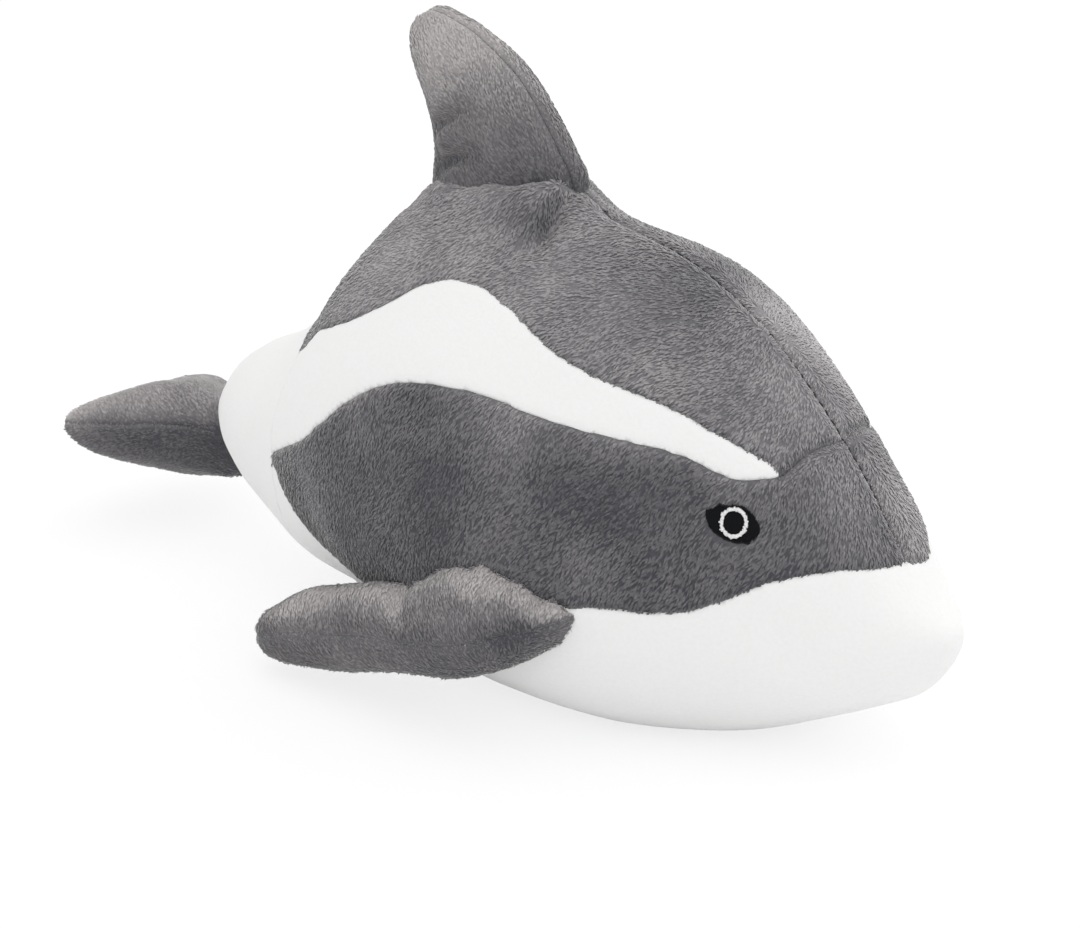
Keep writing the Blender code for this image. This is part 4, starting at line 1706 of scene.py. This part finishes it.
@dataclass
class DolphinBody:
    """Body skin of eight panels, its pile and stuffing."""

    skin: PaddedSkin = field(default_factory=lambda: PaddedSkin(
        name="body",
        panels=(
            Panel("tail_piece", Slot.WHITE, TAIL_NAP, PLAIN_TONE),
            Panel("belly_panel", Slot.WHITE, BELLY_NAP, PLAIN_TONE),
            Panel("face_panel_right", Slot.GRAY, FLANK_NAP, FACE_TONE, FACE_NAP),
            Panel("face_panel_left", Slot.GRAY, FLANK_NAP, FACE_TONE, FACE_NAP),
            Panel("side_band_right", Slot.WHITE, BACK_NAP, PLAIN_TONE),
            Panel("side_band_left", Slot.WHITE, BACK_NAP, PLAIN_TONE),
            Panel("back_panel_right", Slot.GRAY, BACK_NAP, BACK_TONE),
            Panel("back_panel_left", Slot.GRAY, BACK_NAP, BACK_TONE),
        ),
        inside=("body_stuffing",),
        swell=1.6 * MM,
        shrink=0.4 * MM,
        claims=body_claims(),
        seams={
            pair("back_panel_right", "back_panel_left"): SeamKind.CLOSING,
            pair("face_panel_right", "face_panel_left"): SeamKind.CLOSING,
            pair("back_panel_right", "face_panel_right"): SeamKind.DART,
            pair("back_panel_left", "face_panel_left"): SeamKind.DART,
            pair("tail_piece", "belly_panel"): SeamKind.HIDDEN,
            pair("tail_piece", "side_band_right"): SeamKind.HIDDEN,
            pair("tail_piece", "side_band_left"): SeamKind.HIDDEN,
        },
        shapings=(
            Collar(("back_fin_right", "back_fin_left"), 2.6 * MM, 3.0 * MM, 0.8 * MM),
            Fold((0.0330, -0.0030, 0.1516), (0.0328, -0.0230, 0.1420), 3.6 * MM, 4.6 * MM, False),
            Fold((0.0400, -0.0040, 0.1510), (0.0385, -0.0200, 0.1440), 4.2 * MM, -1.2 * MM, False),
            Fold((-0.004, -0.0190, 0.150), (0.031, -0.0190, 0.150), 6.0 * MM, -1.5 * MM),
            Push((0.024, -0.014, 0.150), 9 * MM, (0.0005, -0.0004, 0.0070)),
            Push((0.030, -0.006, 0.153), 7 * MM, (0.0, -0.0003, 0.0050)),
            Push((0.036, 0.002, 0.155), 6 * MM, (0.0, 0.0, 0.0040)),
            Push((-0.003, -0.015, 0.150), 8 * MM, (0.0, 0.0, 0.0020), True),
            Push((0.100, 0.018, 0.122), 22 * MM, (0.0007, 0.0008, 0.0005)),
            Push((0.056, 0.006, 0.147), 15 * MM, (-0.0002, -0.0004, -0.0010)),
            Push((-0.010, -0.014, 0.149), 7 * MM, (0.0, -0.0004, 0.0036), True),
            Push((0.024, 0.014, 0.150), 9 * MM, (0.0, 0.0004, 0.0046)),
            Push((0.010, -0.015, 0.150), 9 * MM, (0.0, -0.0004, 0.0044), True),
            Push((-0.017, -0.010, 0.147), 9 * MM, (0.0, 0.0, 0.0030), True),
            Push((-0.046, 0.0, 0.122), 24 * MM, (-0.0010, 0.0, 0.0010)),
            Push((0.155, 0.010, 0.065), 12 * MM, (0.0014, 0.0012, 0.0)),
            Fold((0.1265, -0.0410, 0.0550), (0.1512, -0.0242, 0.0308), 7.0 * MM, 0.9 * MM),
        ),
        seed=3,
    ))
    sheets: Dict[str, bpy.types.Object] = field(default_factory=dict)

    def build(self) -> None:
        """Make and dress the body."""
        surface = self.skin.finish_form()
        self.outside = search_tree([surface.data])
        for panel, sheet in self.skin.sew(surface).items():
            finish_panel(self.skin, panel, sheet)
            self.sheets[panel.node] = sheet


@dataclass
class Fin:
    """A padded fin of two panels sewn edge to edge."""

    name: str
    labels: Tuple[str, str]
    nap: Vec3
    tone: PaintedLightRule
    root: Root
    shapings: Tuple[Shaping, ...] = ()
    claims: Tuple[Claim, ...] = ()
    seam: SeamKind = SeamKind.FLAT
    swell: float = 1.4 * MM
    soften: int = 6
    seed: int = 20

    def build(self) -> None:
        """Make and dress the fin."""
        first, second = (self.name + "_" + label for label in self.labels)
        skin = PaddedSkin(
            name=self.name,
            panels=(Panel(first, Slot.FIN, self.nap, self.tone), Panel(second, Slot.FIN, self.nap, self.tone)),
            inside=(self.name + "_filling",),
            voxel=1.7 * MM,
            swell=self.swell,
            shrink=0.0,
            soften=self.soften,
            lumps=0.35 * MM,
            anchors=BODY_SKINS,
            shapings=self.shapings + (self.root,),
            claims=self.claims,
            seams={pair(first, second): self.seam},
            seed=self.seed,
        )
        surface = skin.finish_form()
        for panel, sheet in skin.sew(surface).items():
            finish_panel(skin, panel, sheet)


PILES = {
    Slot.GRAY: Pile(1.5, 3.0 * MM, 0.62 * MM, 0.16, 0.16 * MM, 0.45, 101),
    Slot.FIN: Pile(1.5, 2.8 * MM, 0.60 * MM, 0.15, 0.16 * MM, 0.45, 151),
}
PLUSH = {Slot.GRAY: GRAY_FINISH, Slot.FIN: FIN_FINISH, Slot.WHITE: WHITE_FINISH}
MADE: Dict[str, bpy.types.Material] = {}


def shared(name: str, make: Callable[[], bpy.types.Material]) -> bpy.types.Material:
    """A material that is made once.

    Args:
        name: Key it is kept under.
        make: Makes it the first time.

    Returns:
        The material.
    """
    if name not in MADE:
        MADE[name] = make()
    return MADE[name]


def finish_panel(skin: PaddedSkin, panel: Panel, sheet: bpy.types.Object) -> None:
    """Grow the pile, thicken the cloth and dress both.

    Args:
        skin: The padded form it belongs to.
        panel: The panel.
        sheet: Its sheet of cloth.
    """
    finish = PLUSH[panel.slot]
    if panel.slot in PILES:
        tufts = PILES[panel.slot].grow(panel.node + "_pile", sheet, panel, skin.parting, skin.rims)
        dress(tufts, shared(finish.name + "_pile", finish.pile), panel.slot)
    set_tone(sheet, panel.tone_at(points_of(sheet.data), normals_of(sheet.data)))
    thicken(sheet)
    dress(sheet, shared(finish.name + "_ground", finish.ground), panel.slot, panel.node)


@dataclass
class Filling:
    """A filling as a soft lumpy mass inside its panels."""

    node: str
    inset: float = 1.2 * MM
    voxel: float = 4.5 * MM

    def build(self) -> None:
        """Make and dress the filling."""
        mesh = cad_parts[self.node].data
        piece = object_of(self.node + "_fibre", points_of(mesh), [list(p.vertices) for p in mesh.polygons])
        weld(piece)
        apply_modifier(piece, "REMESH", mode="VOXEL", voxel_size=self.voxel, use_smooth_shade=True)
        largest_part(piece)
        apply_modifier(piece, "SMOOTH", factor=0.5, iterations=4)
        points = points_of(piece.data)
        normals = normals_of(piece.data)
        set_points(piece.data, points - normals * (self.inset + 0.5 * MM * sway(points, 18 * MM, 9))[:, None])
        smooth(piece)
        dress(piece, shared("fibre", FIBRE.material), Slot.FILLING, self.node)


# Studio


@dataclass
class Studio:
    """Pale floor, soft light and the photograph's camera."""

    azimuth: float = math.radians(38.3)
    elevation: float = math.radians(21.9)
    distance: float = 0.900
    target: Vec3 = (0.0165, 0.0, 0.0609)
    lens: float = 93.0
    floor_half: float = 3.0
    floor_color: Vec3 = (0.93, 0.93, 0.935)
    floor_glow: float = 1.06
    floor_glow_share: float = 0.72
    world_strength: float = 0.87

    def camera(self) -> None:
        """Camera at the photograph's viewing angle."""
        data = bpy.data.cameras.new("photo_camera")
        data.lens = self.lens
        data.sensor_width = 36.0
        data.sensor_fit = "HORIZONTAL"
        data.clip_start = 0.05
        data.clip_end = 50.0
        camera = bpy.data.objects.new("photo_camera", data)
        bpy.context.scene.collection.objects.link(camera)
        back = Vector((
            math.sin(self.azimuth) * math.cos(self.elevation),
            -math.cos(self.azimuth) * math.cos(self.elevation),
            math.sin(self.elevation),
        ))
        camera.location = Vector(self.target) + back * self.distance
        camera.rotation_euler = back.to_track_quat("Z", "Y").to_euler()
        bpy.context.scene.camera = camera

    def lamp(self, name: str, place: Vec3, aim: Vec3, size: float, power: float) -> None:
        """One soft square lamp.

        Args:
            name: Lamp name.
            place: Where it hangs.
            aim: What it faces.
            size: Side length.
            power: Watts.
        """
        data = bpy.data.lights.new(name, "AREA")
        data.size = size
        data.energy = power
        lamp = bpy.data.objects.new(name, data)
        bpy.context.scene.collection.objects.link(lamp)
        lamp.location = place
        lamp.rotation_euler = (Vector(place) - Vector(aim)).to_track_quat("Z", "Y").to_euler()

    def floor(self) -> None:
        """Pale floor that keeps a faint shadow."""
        bpy.ops.mesh.primitive_plane_add(size=2 * self.floor_half, location=(0, 0, 0))
        floor = bpy.context.active_object
        floor.name = "studio_floor"
        nodes = Nodes("studio_floor")
        nodes.shader.inputs["Base Color"].default_value = (*self.floor_color, 1.0)
        nodes.shader.inputs["Roughness"].default_value = 1.0
        nodes.shader.inputs["Specular IOR Level"].default_value = 0.0
        output = nodes.tree.nodes["Material Output"]
        path = nodes.add("ShaderNodeLightPath")
        glow = nodes.add("ShaderNodeEmission", Color=(1.0, 1.0, 1.0, 1.0), Strength=self.floor_glow)
        mixed = nodes.add("ShaderNodeMixShader")
        seen = nodes.add("ShaderNodeMath", operation="MULTIPLY")
        seen.inputs[1].default_value = self.floor_glow_share
        nodes.link(path.outputs["Is Camera Ray"], seen.inputs[0])
        nodes.link(seen.outputs[0], mixed.inputs[0])
        nodes.link(nodes.shader.outputs[0], mixed.inputs[1])
        nodes.link(glow.outputs[0], mixed.inputs[2])
        nodes.link(mixed.outputs[0], output.inputs["Surface"])
        floor.data.materials.append(nodes.material)

    def world(self) -> None:
        """Even pale surroundings, white to the camera."""
        world = bpy.data.worlds.new("studio_world")
        world.use_nodes = True
        bpy.context.scene.world = world
        tree = world.node_tree
        plain = tree.nodes["Background"]
        plain.inputs["Color"].default_value = (1.0, 1.0, 1.0, 1.0)
        plain.inputs["Strength"].default_value = self.world_strength
        white = tree.nodes.new("ShaderNodeBackground")
        white.inputs["Color"].default_value = (1.0, 1.0, 1.0, 1.0)
        white.inputs["Strength"].default_value = 1.0
        path = tree.nodes.new("ShaderNodeLightPath")
        mixed = tree.nodes.new("ShaderNodeMixShader")
        tree.links.new(path.outputs["Is Camera Ray"], mixed.inputs[0])
        tree.links.new(plain.outputs[0], mixed.inputs[1])
        tree.links.new(white.outputs[0], mixed.inputs[2])
        tree.links.new(mixed.outputs[0], tree.nodes["World Output"].inputs["Surface"])

    def build(self) -> None:
        """Set the whole studio."""
        bpy.context.scene.view_settings.view_transform = "Standard"
        self.camera()
        self.floor()
        self.world()
        self.lamp("overhead", (0.15, 0.10, 1.5), (0.0, 0.0, 0.05), 1.6, 5.0)
        self.lamp("far_rim", (0.55, 1.25, 0.80), (0.05, 0.0, 0.10), 1.0, 3.2)
        self.lamp("front_fill", (0.9, -1.2, 0.7), (0.0, 0.0, 0.08), 1.2, 0.4)


def back_fin(outside: BVHTree) -> Fin:
    """Upright fin with the folds of its rear edge.

    Args:
        outside: Surface of the body.

    Returns:
        The fin.
    """
    return Fin(
        "back_fin", ("right", "left"), FIN_NAP, FIN_TONE, Root(outside, (0.0, 0.0, -0.003), 5 * MM),
        shapings=(
            Fold((0.0310, 0.0010, 0.1560), (-0.0020, 0.0, 0.1970), 9 * MM, -2.4 * MM, False),
            Push((0.031, 0.002, 0.159), 7 * MM, (0.0024, 0.0004, 0.0)),
            Push((-0.030, -0.006, 0.189), 12 * MM, (0.0010, 0.0, 0.0), True),
            Push((-0.022, -0.008, 0.176), 12 * MM, (0.0020, 0.0, 0.0), True),
            Push((-0.016, -0.010, 0.160), 10 * MM, (0.0022, 0.0, 0.0), True),
            Fold((-0.0180, -0.0110, 0.1690), (-0.0030, -0.0130, 0.1776), 2.6 * MM, 3.6 * MM),
            Fold((-0.0150, -0.0122, 0.1765), (-0.0085, -0.0127, 0.1797), 3.0 * MM, -1.2 * MM),
            Fold((-0.0180, -0.0110, 0.1570), (0.0025, -0.0148, 0.1650), 2.6 * MM, 3.8 * MM),
            Fold((-0.0170, -0.0115, 0.1630), (-0.0080, -0.0132, 0.1675), 3.0 * MM, -1.8 * MM),
            Fold((-0.0170, -0.0115, 0.1530), (-0.0040, -0.0140, 0.1560), 3.0 * MM, -1.6 * MM),
        ),
        claims=(Claim("back_fin_left", "back_fin_right", 2.4 * MM, (1.0, 0.0, 0.6)),),
        seam=SeamKind.FIN, soften=3, seed=21,
    )


def tail_fluke(outside: BVHTree) -> Fin:
    """Level fluke behind the body, both lobes in one.

    Args:
        outside: Surface of the body.

    Returns:
        The fin.
    """
    return Fin(
        "tail_fluke", ("upper", "lower"), FLUKE_NAP, FLUKE_TONE, Root(outside, (0.009, 0.0, -0.001), 12 * MM),
        shapings=(
            Push((-0.149, 0.002, 0.047), 18 * MM, (0.0, 0.0, 0.0036)),
            Push((-0.150, -0.004, 0.047), 13 * MM, (0.0, 0.0, 0.0026)),
            Push((-0.150, 0.032, 0.042), 15 * MM, (0.0050, 0.0030, -0.0004)),
            Push((-0.145, -0.012, 0.018), 24 * MM, (0.0, 0.0, 0.0012)),
            Push((-0.123, -0.002, 0.025), 10 * MM, (0.0060, 0.0, -0.0004)),
        ),
        seed=22,
    )


def pectoral_fin(side: str, outside: BVHTree) -> Fin:
    """Flat fin at the side, with the notch of its upper edge.

    Args:
        side: right or left.
        outside: Surface of the body.

    Returns:
        The fin.
    """
    return Fin(
        "pectoral_fin_" + side, ("upper", "lower"), PECTORAL_NAP, PECTORAL_TONE,
        Root(outside, (0.001, 0.003 if side == "right" else -0.003, 0.001), 5 * MM),
        shapings=(
            Push((-0.034, -0.0775, 0.013), 20 * MM, (-0.0026, 0.0, 0.0), True),
            Push((-0.020, -0.0750, 0.029), 14 * MM, (0.0, 0.0, 0.0032), True),
            Push((0.005, -0.0750, 0.038), 13 * MM, (0.0, 0.0, 0.0026), True),
            Push((-0.031, -0.0770, 0.007), 12 * MM, (-0.0004, 0.0, -0.0016), True),
            Push((0.024, -0.0788, 0.018), 15 * MM, (0.0, 0.0, 0.0010), True),
            Push((0.040, -0.0750, 0.050), 13 * MM, (-0.0010, 0.0, 0.0018), True),
            Push((0.066, -0.0760, 0.036), 14 * MM, (-0.0006, 0.0012, 0.0056), True),
            Push((0.050, -0.0785, 0.024), 13 * MM, (0.0, 0.0, 0.0026), True),
            Push((0.078, -0.0680, 0.045), 9 * MM, (0.0020, 0.0, 0.0050), True),
            Fold((0.0190, -0.0700, 0.0450), (0.0230, -0.0800, 0.0400), 4.0 * MM, 2.4 * MM),
            Fold((0.0560, -0.0790, 0.0460), (0.0763, -0.0670, 0.0515), 3.4 * MM, 0.8 * MM),
        ),
        seed=23,
    )


def main() -> None:
    """Build every piece in order."""
    logging.basicConfig(level=logging.INFO, format="%(message)s")
    Studio().build()
    body = DolphinBody()
    body.build()
    back_fin(body.outside).build()
    tail_fluke(body.outside).build()
    for side in ("right", "left"):
        pectoral_fin(side, body.outside).build()
    Filling("body_stuffing").build()
    Filling("back_fin_filling", 3.2 * MM, 3.0 * MM).build()
    for node in ("tail_fluke_filling", "pectoral_fin_right_filling", "pectoral_fin_left_filling"):
        Filling(node, 2.0 * MM, 3.0 * MM).build()
    for side in ("right", "left"):
        EmbroideredEye(side, body.sheets["face_panel_" + side]).build()
    midline = tuple(body.sheets[n] for n in (
        "back_panel_right", "back_panel_left", "face_panel_right", "face_panel_left"))
    dress(SeamStitches(midline).build(), SEAM_THREAD.material(), Slot.GRAY)


if __name__ == "__main__":
    main()
